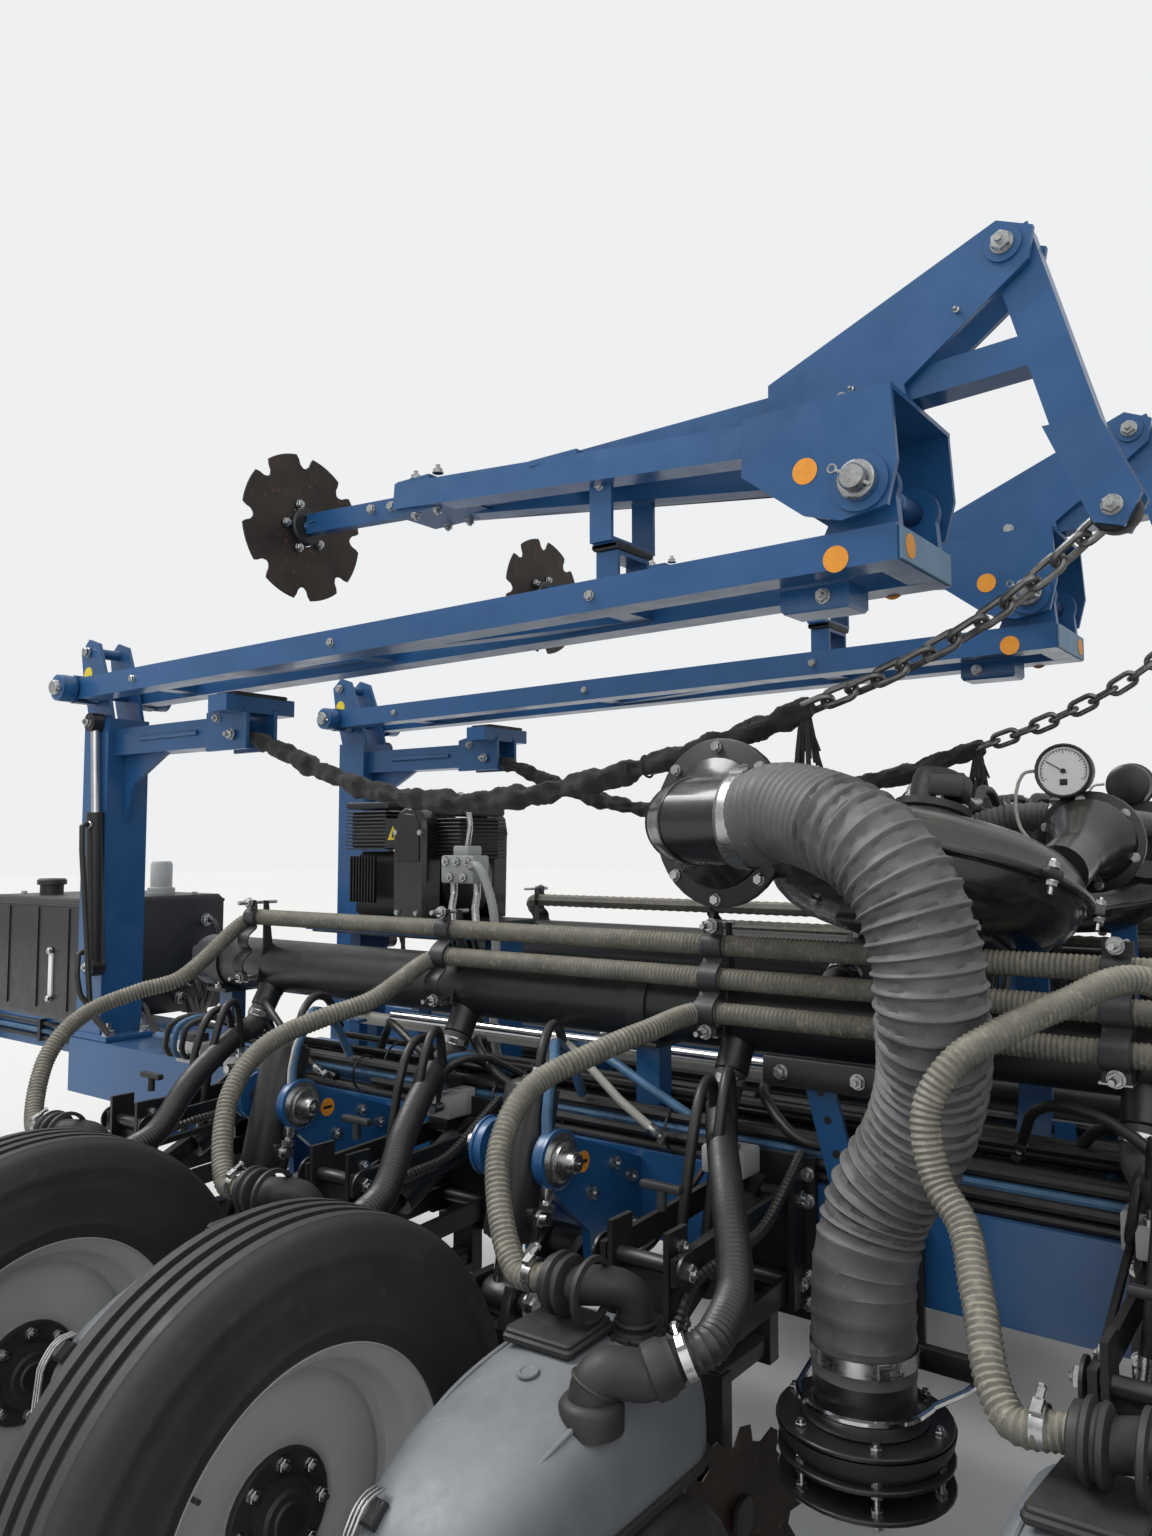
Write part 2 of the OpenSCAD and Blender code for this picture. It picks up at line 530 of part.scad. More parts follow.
// Wings.
wheel_x = [row_x(4) + row_pitch / 2, row_x(5) + row_pitch / 2];
arm_po = 215;
arm_pz = bar_z - 95;
fan_legs = [3320, 3600];
trun_y = fold_y + 379;
trun_z = 1048;
cyl_o = 350;
pin_o = 440;
pin_z = 790;
module fan_at() { translate([3450, fold_y - 30, 1640]) rotate([0, -17, 0]) children(); }
module wing_toolbar_n(s) {
  place() color("#1d5a9c") flip(s) {
    box([(wing_gap + wing_len) / 2, fold_y, bar_z], [wing_len - wing_gap, bar, bar]);
    // hinge clevis and pin
    for (t = [-1, 1]) translate([0, 0, bar_z + t * (knuckle_h + clr + ear_t / 2) - ear_t / 2])
      linear_extrude(ear_t) polygon([[-45, hinge_y - 55], [45, hinge_y - 55], [wing_gap + 60, fold_y - hb],
        [wing_gap + 420, fold_y - hb], [wing_gap + 420, fold_y + hb - 20], [wing_gap + 60, fold_y + hb],
        [wing_gap, fold_y + hb], [-50, hinge_y + 45]]);
    for (t = [-1, 1]) box([wing_gap + 210, fold_y, bar_z + t * (hb + (knuckle_h + clr - hb) / 2)],
      [420, bar - 30, knuckle_h + clr - hb]);
    zcyl(0, hinge_y, bar_z - knuckle_h - clr - ear_t - 12, bar_z + knuckle_h + clr + ear_t + 12, hinge_r);
    // brackets that carry the wheel arms and cylinders
    for (x = wheel_x) for (t = [-1, 1]) {
      difference() {
        union() {
          xplate([[fold_y + hb, bar_z + 75], [trun_y - 45, trun_z + 35], [trun_y + 30, trun_z - 45],
            [fold_y + arm_po + 60, bar_z - 30], [fold_y + arm_po + 50, arm_pz - 40],
            [fold_y + arm_po - 40, arm_pz - 50], [fold_y + hb, bar_z - 85]],
            x + (t > 0 ? 66 : -86), x + (t > 0 ? 86 : -66));
          xcyl(x + (t > 0 ? 66 : -86), x + (t > 0 ? 86 : -66), trun_y, trun_z, 55);
        }
        xcyl(x - 200, x + 200, fold_y + arm_po, arm_pz, 22.3);
        xcyl(x - 200, x + 200, trun_y, trun_z, 26.3);
      }
    }
    // manifold stands
    for (i = [0, 2, 4, 6])
      box([row_x(i) + 320, fold_y, (bar_z + hb + pipe_z - pipe_d / 2) / 2],
        [60, 50, pipe_z - pipe_d / 2 - bar_z - hb]);
    // bent legs and short posts under the tilted fan
    difference() {
      for (x = fan_legs) {
        xplate([[fold_y - hb + 14, bar_z + hb], [fold_y - hb, bar_z + hb],
          [fold_y - 152, bar_z + hb + 160], [fold_y - 152, 1640], [fold_y - 140, 1640],
          [fold_y - 140, bar_z + hb + 164]], x - 30, x + 30);
        xplate([[fold_y - 152, 1440], [fold_y - 140, 1440], [fold_y + 20, 1500], [fold_y + 20, 1640],
          [fold_y - 152, 1640]], x - 6, x + 6);
      }
      fan_at() translate([-400, -400, -112]) cube([800, 800, 400]);
    }
    // slanted strip with the channel under the pipe
    yplate([[3545, bar_z - 7], [3605, bar_z - 7], [3695, 1240], [3635, 1240]], fold_y + hb, fold_y + hb + 10);
    box([3640, fold_y + hb + 22, 1215], [230, 24, 50]);
  }
}
module marker_post_n(s) {
  place() color("#1d5a9c") flip(s) {
    box([post_x, fold_y, (bar_z + hb + post_top) / 2], [post_w, post_w, post_top - bar_z - hb]);
    // head ears and pivot pin
    for (t = [-1, 1]) yplate([[post_x - 70, post_top], [post_x + 75, post_top], [piv_x + 90, piv_z + 40],
      [piv_x + 110, piv_z + 150], [piv_x + 60, piv_z + 190], [piv_x, piv_z + 170],
      [piv_x - 60, piv_z + 30]], fold_y + (t > 0 ? 48 : -60), fold_y + (t > 0 ? 60 : -48));
    ycyl(piv_x, fold_y - 180, fold_y + 180, piv_z, 25);
    ycyl(piv_x, fold_y + 152, fold_y + 190, piv_z, 45);
    ycyl(piv_x, fold_y - 190, fold_y - 152, piv_z, 45);
    ycyl(piv_x + 60, fold_y - 64, fold_y + 64, piv_z + 145, 18);
    // rest bracket for the folded arm
    box([(post_x - post_w / 2 + 5630) / 2, fold_y, 2000], [post_x - post_w / 2 - 5630, 90, 90]);
    for (t = [-1, 1]) yplate([[5500, 1940], [5700, 1940], [5700, 2060], [5580, 2085], [5520, 2085],
      [5500, 2060]],
      fold_y + (t > 0 ? 45 : -57), fold_y + (t > 0 ? 57 : -45));
    ycyl(5560, fold_y - 65, fold_y + 65, 1985, 10);
    box([5550, fold_y, 2075], [90, 250, 50]);
    yplate([[post_x - post_w / 2, 1720], [post_x - post_w / 2 - 50, 1860], [post_x - post_w / 2 - 240, 1956],
      [post_x - post_w / 2, 1956]], fold_y - 8, fold_y + 8);
  }
}
module marker_arm_n(s) {
  yo = 70;
  place() color("#1d5a9c") flip(s) {
    difference() {
      union() {
        for (t = [-1, 1]) {
          yc = fold_y + t * (yo + mark_w / 2);
          strut([piv_x + 40, yc, piv_z], [knee_x - 60, yc, knee_z - 115], mark_w, mark_h);
          ycyl(piv_x, yc - mark_w / 2, yc + mark_w / 2, piv_z, 48);
          // knee lug
          yplate([[knee_x - 58, knee_z - 110], [knee_x + 110, knee_z - 110], [knee_x + 45, knee_z + 30],
            [knee_x - 45, knee_z + 30]], yc - 12, yc + 12);
          ycyl(knee_x, yc - 12, yc + 12, knee_z, 55);
        }
      }
      ycyl(piv_x, fold_y - 300, fold_y + 300, piv_z, 25.3);
    }
    ycyl(knee_x, fold_y - 200, fold_y + 200, knee_z, 25);
    box([knee_x - 30, fold_y, knee_z - 115], [60, 150, 70]);
    for (x = [knee_x + 640, knee_x + 1500, knee_x + 2450])
      box([x, fold_y, piv_z + (piv_x - x) / (knee_run + 60) * (knee_rise - 115)], [60, 150, 50]);
    for (q = [[knee_x + 640, knee_x + 1070, knee_x + 1500], [knee_x + 1500, knee_x + 1975, knee_x + 2450]])
      strut([q[0], fold_y - 70, piv_z + 20], [q[2], fold_y + 70, piv_z + 6], 40, 40);
    // lower rest hoop
    for (t = [-1, 1]) box([knee_x + 650, fold_y + t * 60, piv_z + 84], [60, 10, 118]);
    box([knee_x + 650, fold_y, piv_z + 138], [60, 130, 10]);
  }
}
boom_x = 4850;
boom_z = knee_z + 250;
mdisc_x = boom_x + 470;
mdisc_z = boom_z + 17;
module marker_boom_n(s) {
  place() color("#1d5a9c") flip(s) {
    difference() {
      union() {
        for (t = [-1, 1]) {
          yplate([[knee_x - 70, knee_z + 30], [knee_x - 60, knee_z + 178], [knee_x + 245, knee_z + 178],
            [knee_x + 250, knee_z + 60], [knee_x + 120, knee_z - 40], [knee_x + 40, knee_z - 65],
            [knee_x - 50, knee_z - 50]], fold_y + (t > 0 ? 152 : -164), fold_y + (t > 0 ? 164 : -152));
        }
      }
      ycyl(knee_x, fold_y - 300, fold_y + 300, knee_z, 25.3);
    }
    box([knee_x + 92, fold_y, knee_z + 173], [306, 328, 10]);
    // two converging tubes
    for (t = [-1, 1]) strut([knee_x + 150, fold_y + t * 120.5, knee_z + 128],
      [boom_x, fold_y + t * 50, boom_z], 66, 68);
    box([boom_x - 120, fold_y, boom_z - 42], [240, 150, 20]);
    box([boom_x - 60, fold_y, boom_z + 34], [120, 150, 12]);
    box([4290, fold_y, boom_z - 24], [140, 230, 14]);
    // adjustable disc slide
    strut([boom_x - 500, fold_y, boom_z - 34], [boom_x + 440, fold_y, boom_z + 20], 30, 58);
    xcyl(boom_x + 400, mdisc_x + 4, fold_y, mdisc_z, 18);
    // lever plates, struts and link
    for (t = [-1, 1]) yplate([[knee_x + 245, knee_z + 178], [knee_x + 245, knee_z + 285],
      [knee_x - 225, knee_z + 480], [knee_x - 290, knee_z + 450], [knee_x - 280, knee_z + 390],
      [knee_x - 45, knee_z + 215], [knee_x - 50, knee_z + 178]],
      fold_y + (t > 0 ? 40 : -52), fold_y + (t > 0 ? 52 : -40));
    for (t = [-1, 1]) box([knee_x + 100, fold_y + t * 46, knee_z + 176], [290, 12, 12]);
    strut([knee_x + 200, fold_y, knee_z + 240], [4290, fold_y, boom_z - 15], 60, 60);
    strut([knee_x + 20, fold_y, knee_z + 215], [knee_x - 290, fold_y, knee_z + 230], 66, 60);
    strut([knee_x - 237, fold_y, knee_z + 460], [knee_x - 350, fold_y, knee_z + 60], 66, 80);
    for (t = [-1, 1]) yplate([[knee_x - 290, knee_z + 80], [knee_x - 385, knee_z + 80],
      [knee_x - 450, knee_z - 70], [knee_x - 420, knee_z - 125], [knee_x - 370, knee_z - 110]],
      fold_y + (t > 0 ? 22 : -34), fold_y + (t > 0 ? 34 : -22));
    ycyl(knee_x - 237, fold_y - 70, fold_y + 70, knee_z + 430, 14);
    ycyl(knee_x - 402, fold_y - 50, fold_y + 50, knee_z - 86, 12);
    // upper rest hoop
    for (t = [-1, 1]) box([knee_x + 650, fold_y + t * 86, piv_z + 240], [60, 10, 160]);
    box([knee_x + 650, fold_y, piv_z + 165], [60, 182, 10]);
    box([knee_x + 650, fold_y, piv_z + 155], [64, 150, 10]);
  }
}
module marker_disc_n(s) {
  place() color("#3a302a") flip(s) {
    translate([mdisc_x, fold_y, mdisc_z]) rotate([0, 90, 0]) difference() {
      union() {
        difference() {
          cylinder(h = 6, d = mark_d);
          for (a = [0:45:315]) rotate([0, 0, a]) translate([mark_d / 2, 0, -1]) cylinder(h = 8, r = 30);
        }
        translate([0, 0, -24]) cylinder(h = 30, r = 55);
      }
      translate([0, 0, -30]) cylinder(h = 60, r = 18.3);
    }
  }
}
module marker_chain_n(s) {
  place() color("#7f8284") flip(s) {
    translate([knee_x, fold_y, knee_z])
      hose([[-392, 0, -93], [-200, 0, -235], [0, 0, -330], [200, 0, -395]], 36, 2);
    hose([[knee_x + 180, fold_y, knee_z - 390], [knee_x + 480, fold_y, knee_z - 475],
      [knee_x + 1025, fold_y, 1765], [5000, fold_y, 1800], [5550, fold_y, 1982]], 64, 3);
  }
}
module lift_cylinders_n(s) {
  place() color("#232426") flip(s) for (x = wheel_x) {
    a = [x, fold_y + cyl_o, 1170];
    b = [x, fold_y + pin_o, pin_z];
    rod(a, a + 0.72 * (b - a), lift_d / 2);
    rod(a + 0.7 * (b - a), b, 24);
    xcyl(x - 28, x + 28, b[1], b[2], 36);
    xcyl(x - 34, x + 34, b[1], b[2], 16);
    xcyl(x - 95, x + 95, trun_y, trun_z, 26);
  }
}
side_x = wing_tyre_w / 2 + 10;
module wheel_arms_n(s) {
  place() color("#26282b") flip(s) for (x = wheel_x) {
    xcyl(x - 56, x + 56, fold_y + arm_po, arm_pz, 42);
    xcyl(x - 90, x + 90, fold_y + arm_po, arm_pz, 22);
    for (t = [-1, 1]) xcyl(x + t * 55 - 10, x + t * 55 + 10, fold_y + pin_o, pin_z, 24);
    for (t = [-1, 1]) xplate([[fold_y + arm_po - 30, arm_pz + 30], [fold_y + arm_po - 30, arm_pz - 35],
      [fold_y + arm_po + 30, arm_pz - 60], [fold_y + 497, wing_axle_z + 20], [fold_y + 497, wing_axle_z + 130],
      [fold_y + pin_o + 35, pin_z + 40], [fold_y + pin_o - 35, pin_z + 40],
      [fold_y + pin_o - 60, pin_z - 10], [fold_y + arm_po + 30, arm_pz + 40]],
      x + t * 46 - 10, x + t * 46 + 10);
    box([x + side_x / 2 - 18, fold_y + 484, wing_axle_z + 75], [side_x + 76, 26, 110]);
    xplate([[fold_y + 471, wing_axle_z + 20], [fold_y + 471, wing_axle_z + 130],
      [fold_y + wing_axle_o - 40, wing_axle_z + 55], [fold_y + wing_axle_o + 45, wing_axle_z + 45],
      [fold_y + wing_axle_o + 45, wing_axle_z - 45], [fold_y + wing_axle_o - 40, wing_axle_z - 50]],
      x + side_x, x + side_x + 20);
    xcyl(x - 30, x + side_x + 30, fold_y + wing_axle_o, wing_axle_z, 25);
  }
}
module wing_rims_n(s) {
  place() color("#b9bcbe") flip(s) for (x = wheel_x)
    translate([x, fold_y + wing_axle_o, wing_axle_z]) rotate([0, 90, 0]) difference() {
      union() {
        difference() {
          cylinder(h = wing_tyre_w - 40, r = 262, center = true);
          translate([0, 0, -wing_tyre_w]) cylinder(h = wing_tyre_w - 10, r = 240);
          translate([0, 0, 10]) cylinder(h = wing_tyre_w, r = 240);
        }
        translate([0, 0, -50]) cylinder(h = 140, r = 75);
      }
      translate([0, 0, -31]) cylinder(h = 200, r = 25.3);
    }
}
module wing_tyres_n(s) {
  w = wing_tyre_w / 2;
  R = wing_tyre_d / 2;
  place() color("#1e1f20") flip(s) for (x = wheel_x)
    translate([x, fold_y + wing_axle_o, wing_axle_z]) rotate([0, 90, 0]) rotate_extrude($fn = 96)
      polygon([[262, -w + 20], [300, -w + 6], [360, -w], [400, -w + 8], [R - 12, -w + 22],
        [R, -w + 52], [R, w - 52], [R - 12, w - 22], [400, w - 8], [360, w], [300, w - 6], [262, w - 20]]);
}
module manifold_n(s) {
  place() color("#232426") flip(s) {
    xcyl(480, pipe_end, fold_y, pipe_z, pipe_d / 2);
    translate([3700, fold_y, pipe_z]) rotate([60, 0, 0]) cylinder(h = 130, r = 36);
    for (i = [0:wing_rows - 1]) {
      // vacuum outlet and hose clamp at each row
      translate([row_x(i) + 90, fold_y, pipe_z]) rotate([-150, 0, 0]) cylinder(h = 130, r = 35);
      if (i < 3) box([row_x(i) - 230, fold_y - 50, pipe_z + 100], [50, 220, 100]);
      else box([row_x(i) + 95, fold_y + 92, pipe_z + 80], [40, 100, 230]);
    }
  }
}
// Places of the seed hoses beside the manifold, from its axis.
seed_at = let (p = pipe_d / 2 + seed_d / 2) [[p - 90, 112], [p - 150, 104], [p - 206, 58],
  [p + 52, 78], [p + 6, 11], [p - 10, 78], [p - 28, 144]];
module seed_hoses_n(s) {
  place() color("#8f8778") flip(s) for (i = [0:wing_rows - 1]) {
    x = row_x(i);
    y = fold_y + seed_at[i][0];
    z = pipe_z + seed_at[i][1];
    // the loop out and down to the row unit
    a = [[59, 210, 1445], [147, 330, 1412], [209, 430, 1377], [256, 490, 1338], [287, 512, 1270],
      [270, 525, 1185], [225, 550, 1132], [190, 610, 1070]];
    b = [[170, 280, 1285], [215, 380, 1255], [262, 480, 1215], [262, 560, 1165], [230, 630, 1090]];
    hose(concat([[300, y, z]], i < 3 ? [[x - 190, y, z],
        [x - 90, fold_y + 10, pipe_z + 200], [x - 20, fold_y + 90, pipe_z + 205]] :
        [[x + (i == 3 ? -60 : 110), y, z]],
      [for (q = i > 3 ? b : a) [x, fold_y, pipe_z - 1300] + q],
      [[x + seed_x + 140, fold_y + seed_o, bar_z + seed_h],
      [x + seed_x + 70, fold_y + seed_o, bar_z + seed_h]]), seed_d, 2);
  }
}
module air_hoses_n(s) {
  place() color("#2b2c2d") flip(s) {
    for (i = [0:wing_rows - 1]) {
      x = row_x(i);
      hose([[x + 90, fold_y + 65, pipe_z - 112.6], [x + 90, fold_y + 90, pipe_z - 156],
        [x + 50, fold_y + 180, pipe_z - 172], [x - 30, fold_y + 312, bar_z + 180],
        [x - 118, fold_y + 449, bar_z + 138], [x - 200, fold_y + 580, bar_z + 68],
        [x - 228, fold_y + 680, bar_z + 45], [x, fold_y, bar_z] + vac_p - vac_v,
        [x, fold_y, bar_z] + vac_p], vac_d, 2);
    }
    hose([[3236, fold_y - 278, 1700], [3236, fold_y - 300, 1700], [3262, fold_y - 350, 1704],
      [3330, fold_y - 380, 1710], [3440, fold_y - 380, 1706], [3560, fold_y - 372, 1650],
      [3640, fold_y - 330, 1550], [3690, fold_y - 250, 1460], [3700, fold_y - 147.2, 1385],
      [3700, fold_y - 112.6, 1365]], 62, 2);
    hose([[3745, fold_y + 300, 1696], [3690, fold_y + 300, 1696], [3593, fold_y + 335, 1708],
      [3439, fold_y + 390, 1660], [3368, fold_y + 405, 1590], [3333, fold_y + 405, 1493],
      [3328, fold_y + 390, 1382], [3351, fold_y + 330, 1279], [3394, fold_y + 290, 1171],
      [3461, fold_y + 280, 1060], [3484, fold_y + 292, 961], [3486, fold_y + 300, 880],
      [3486, fold_y + 300, 790]], exh_d, 2, 12);
  }
}
module fan_n(s) {
  place() color("#1c1d1f") flip(s) {
    fan_at() {
      cylinder(h = 90, r1 = fan_d / 2 - 14, r2 = fan_d / 2 - 110);
      translate([0, 0, -100]) cylinder(h = 100, r1 = fan_d / 2 - 130, r2 = fan_d / 2 - 14);
      cylinder(h = 16, d = fan_d, center = true);
      translate([0, 0, 80]) cylinder(h = 90, r = 75);
      translate([0, 0, 160]) cylinder(h = 70, r = 48);
      translate([0, 30, -106]) cube([380, 304, 12], center = true);
    }
    // outlet duct, flange and mitred elbow
    rod([3560, fold_y + 70, 1650], [3850, fold_y + 110, 1696], 86);
    xcyl(3840, 3856, fold_y + 110, 1696, 172);
    hose([[3852, fold_y + 110, 1696], [3862, fold_y + 110, 1696], [3929, fold_y + 138, 1696],
      [3957, fold_y + 205, 1696], [3929, fold_y + 272, 1696], [3862, fold_y + 300, 1696],
      [3745, fold_y + 300, 1696]], 165, 1, 12);
    // inlet cone, flange and gauge
    rod([3243, fold_y - 140, 1622], [3236, fold_y - 270, 1657], 52);
    ycyl(3236, fold_y - 278, fold_y - 262, 1657, 99);
    box([3262, fold_y - 270, 1748], [40, 12, 60]);
    ycyl(3275, fold_y - 290, fold_y - 240, 1798, 56);
  }
}
module diffuser_n(s) {
  place() color("#1f2022") flip(s) {
    zcyl(3486, fold_y + 300, 710, 790, 84);
    for (z = [623, 667, 715]) zcyl(3486, fold_y + 300, z - 4, z + 4, 143);
    for (a = [0:60:300]) zcyl(3486 + 125 * cos(a), fold_y + 300 + 125 * sin(a), 612, 728, 6);
    xplate([[fold_y + hb, bar_z + 60], [fold_y + hb + 12, bar_z + 60], [fold_y + hb + 12, 757],
      [fold_y + 230, 757], [fold_y + 230, 740], [fold_y + hb, 740]], 3456, 3516);
  }
}

module seed_tank_l() { seed_tank_n(1); }
module seed_tank_r() { seed_tank_n(-1); }
module tank_lid_l() { tank_lid_n(1); }
module tank_lid_r() { tank_lid_n(-1); }
module transport_arm_l() { road_arm_n(1); }
module transport_arm_r() { road_arm_n(-1); }
module transport_rim_l() { road_rim_n(1); }
module transport_rim_r() { road_rim_n(-1); }
module transport_tyre_l() { road_tyre_n(1); }
module transport_tyre_r() { road_tyre_n(-1); }
module wing_toolbar_l() { wing_toolbar_n(1); }
module wing_toolbar_r() { wing_toolbar_n(-1); }
module marker_post_l() { marker_post_n(1); }
module marker_post_r() { marker_post_n(-1); }
module marker_arm_l() { marker_arm_n(1); }
module marker_arm_r() { marker_arm_n(-1); }
module marker_boom_l() { marker_boom_n(1); }
module marker_boom_r() { marker_boom_n(-1); }
module marker_disc_l() { marker_disc_n(1); }
module marker_disc_r() { marker_disc_n(-1); }
module marker_chain_l() { marker_chain_n(1); }
module marker_chain_r() { marker_chain_n(-1); }
module lift_cylinders_l() { lift_cylinders_n(1); }
module lift_cylinders_r() { lift_cylinders_n(-1); }
module wheel_arms_l() { wheel_arms_n(1); }
module wheel_arms_r() { wheel_arms_n(-1); }
module wing_rims_l() { wing_rims_n(1); }
module wing_rims_r() { wing_rims_n(-1); }
module wing_tyres_l() { wing_tyres_n(1); }
module wing_tyres_r() { wing_tyres_n(-1); }
module row_frames_l() { row_frames_n(1); }
module row_frames_r() { row_frames_n(-1); }
module row_discs_l() { row_discs_n(1); }
module row_discs_r() { row_discs_n(-1); }
module row_wheels_l() { row_wheels_n(1); }
module row_wheels_r() { row_wheels_n(-1); }
module meter_covers_l() { meter_covers_n(1); }
module meter_covers_r() { meter_covers_n(-1); }
module manifold_l() { manifold_n(1); }
module manifold_r() { manifold_n(-1); }
module seed_hoses_l() { seed_hoses_n(1); }
module seed_hoses_r() { seed_hoses_n(-1); }
module air_hoses_l() { air_hoses_n(1); }
module air_hoses_r() { air_hoses_n(-1); }
module fan_l() { fan_n(1); }
module fan_r() { fan_n(-1); }
module diffuser_l() { diffuser_n(1); }
module diffuser_r() { diffuser_n(-1); }

center_frame();
tongue();
jack_leg();
oil_tank();
power_unit();
platform();
seed_tank_l();
seed_tank_r();
tank_lid_l();
tank_lid_r();
transport_arm_l();
transport_arm_r();
transport_rim_l();
transport_rim_r();
transport_tyre_l();
transport_tyre_r();
center_row_frames();
center_row_discs();
center_row_wheels();
center_meter_covers();
wing_toolbar_l();
wing_toolbar_r();
marker_post_l();
marker_post_r();
marker_arm_l();
marker_arm_r();
marker_boom_l();
marker_boom_r();
marker_disc_l();
marker_disc_r();
marker_chain_l();
marker_chain_r();
lift_cylinders_l();
lift_cylinders_r();
wheel_arms_l();
wheel_arms_r();
wing_rims_l();
wing_rims_r();
wing_tyres_l();
wing_tyres_r();
row_frames_l();
row_frames_r();
row_discs_l();
row_discs_r();
row_wheels_l();
row_wheels_r();
meter_covers_l();
meter_covers_r();
manifold_l();
manifold_r();
seed_hoses_l();
seed_hoses_r();
air_hoses_l();
air_hoses_r();
fan_l();
fan_r();
diffuser_l();
diffuser_r();
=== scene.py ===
# Looks of the folded seed planter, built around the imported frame.
import random
from math import copysign, cos, pi, radians, sin

import bpy
import numpy as np
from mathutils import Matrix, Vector


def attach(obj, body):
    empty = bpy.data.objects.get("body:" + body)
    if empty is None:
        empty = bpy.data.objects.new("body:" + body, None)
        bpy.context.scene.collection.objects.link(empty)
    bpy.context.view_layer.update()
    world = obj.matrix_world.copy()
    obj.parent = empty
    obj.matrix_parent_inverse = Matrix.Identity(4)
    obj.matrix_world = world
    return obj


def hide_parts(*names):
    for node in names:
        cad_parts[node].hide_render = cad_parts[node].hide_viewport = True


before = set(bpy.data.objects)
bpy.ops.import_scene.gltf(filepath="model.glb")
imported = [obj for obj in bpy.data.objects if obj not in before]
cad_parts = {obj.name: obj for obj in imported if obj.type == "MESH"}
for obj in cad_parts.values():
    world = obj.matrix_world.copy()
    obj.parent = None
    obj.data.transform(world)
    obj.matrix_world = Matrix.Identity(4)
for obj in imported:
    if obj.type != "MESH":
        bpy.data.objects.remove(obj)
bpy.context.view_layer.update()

# Lengths below are millimetres from the hinge line, as in part.scad; MID is the frame's shift.
MID = 3034.0
# A folded wing's y, the toolbar's height and half its depth, the vacuum pipe's height.
FOLD, BAR, HB, PIPE = 570.0, 915.0, 89.0, 1300.0
ROWS = [723 + 762 * i for i in range(7)]
WHEELS = [4152.0, 4914.0]
AXLE_Y, AXLE_Z = 1530.0, 630.0
# The marker's post in x, its pivot and its knee in x and z, and the middle of the fan.
POST, PIV, KNEE = 6300.0, (6330.0, 2178.0), (3520.0, 2325.0)
FAN = (3490.0, 550.0, 1582.0)
X, Y, Z = (1, 0, 0), (0, 1, 0), (0, 0, 1)
# Most sides of a round under each radius.
TUBE_SIDES = ((7.5, 7), (15, 10), (32, 14))
LATHE_SIDES = ((13, 10), (32, 18), (110, 28), (230, 34))
rnd = random.Random(7)

# Camera: beside the left wing, looking forward and across.
YAW, PITCH = radians(53), radians(4)
cam = bpy.data.objects.new("camera", bpy.data.cameras.new("camera"))
bpy.context.scene.collection.objects.link(cam)
cam.data.sensor_width, cam.data.lens = 36, 26
cam.data.clip_start, cam.data.clip_end = 0.05, 200
cam.location = ((2725 - MID) / 1000, 2.670, 1.650)
look = Vector((cos(PITCH) * cos(YAW), -cos(PITCH) * sin(YAW), sin(PITCH)))
cam.rotation_mode = "QUATERNION"
cam.rotation_quaternion = look.to_track_quat("-Z", "Y")
bpy.context.scene.camera = cam


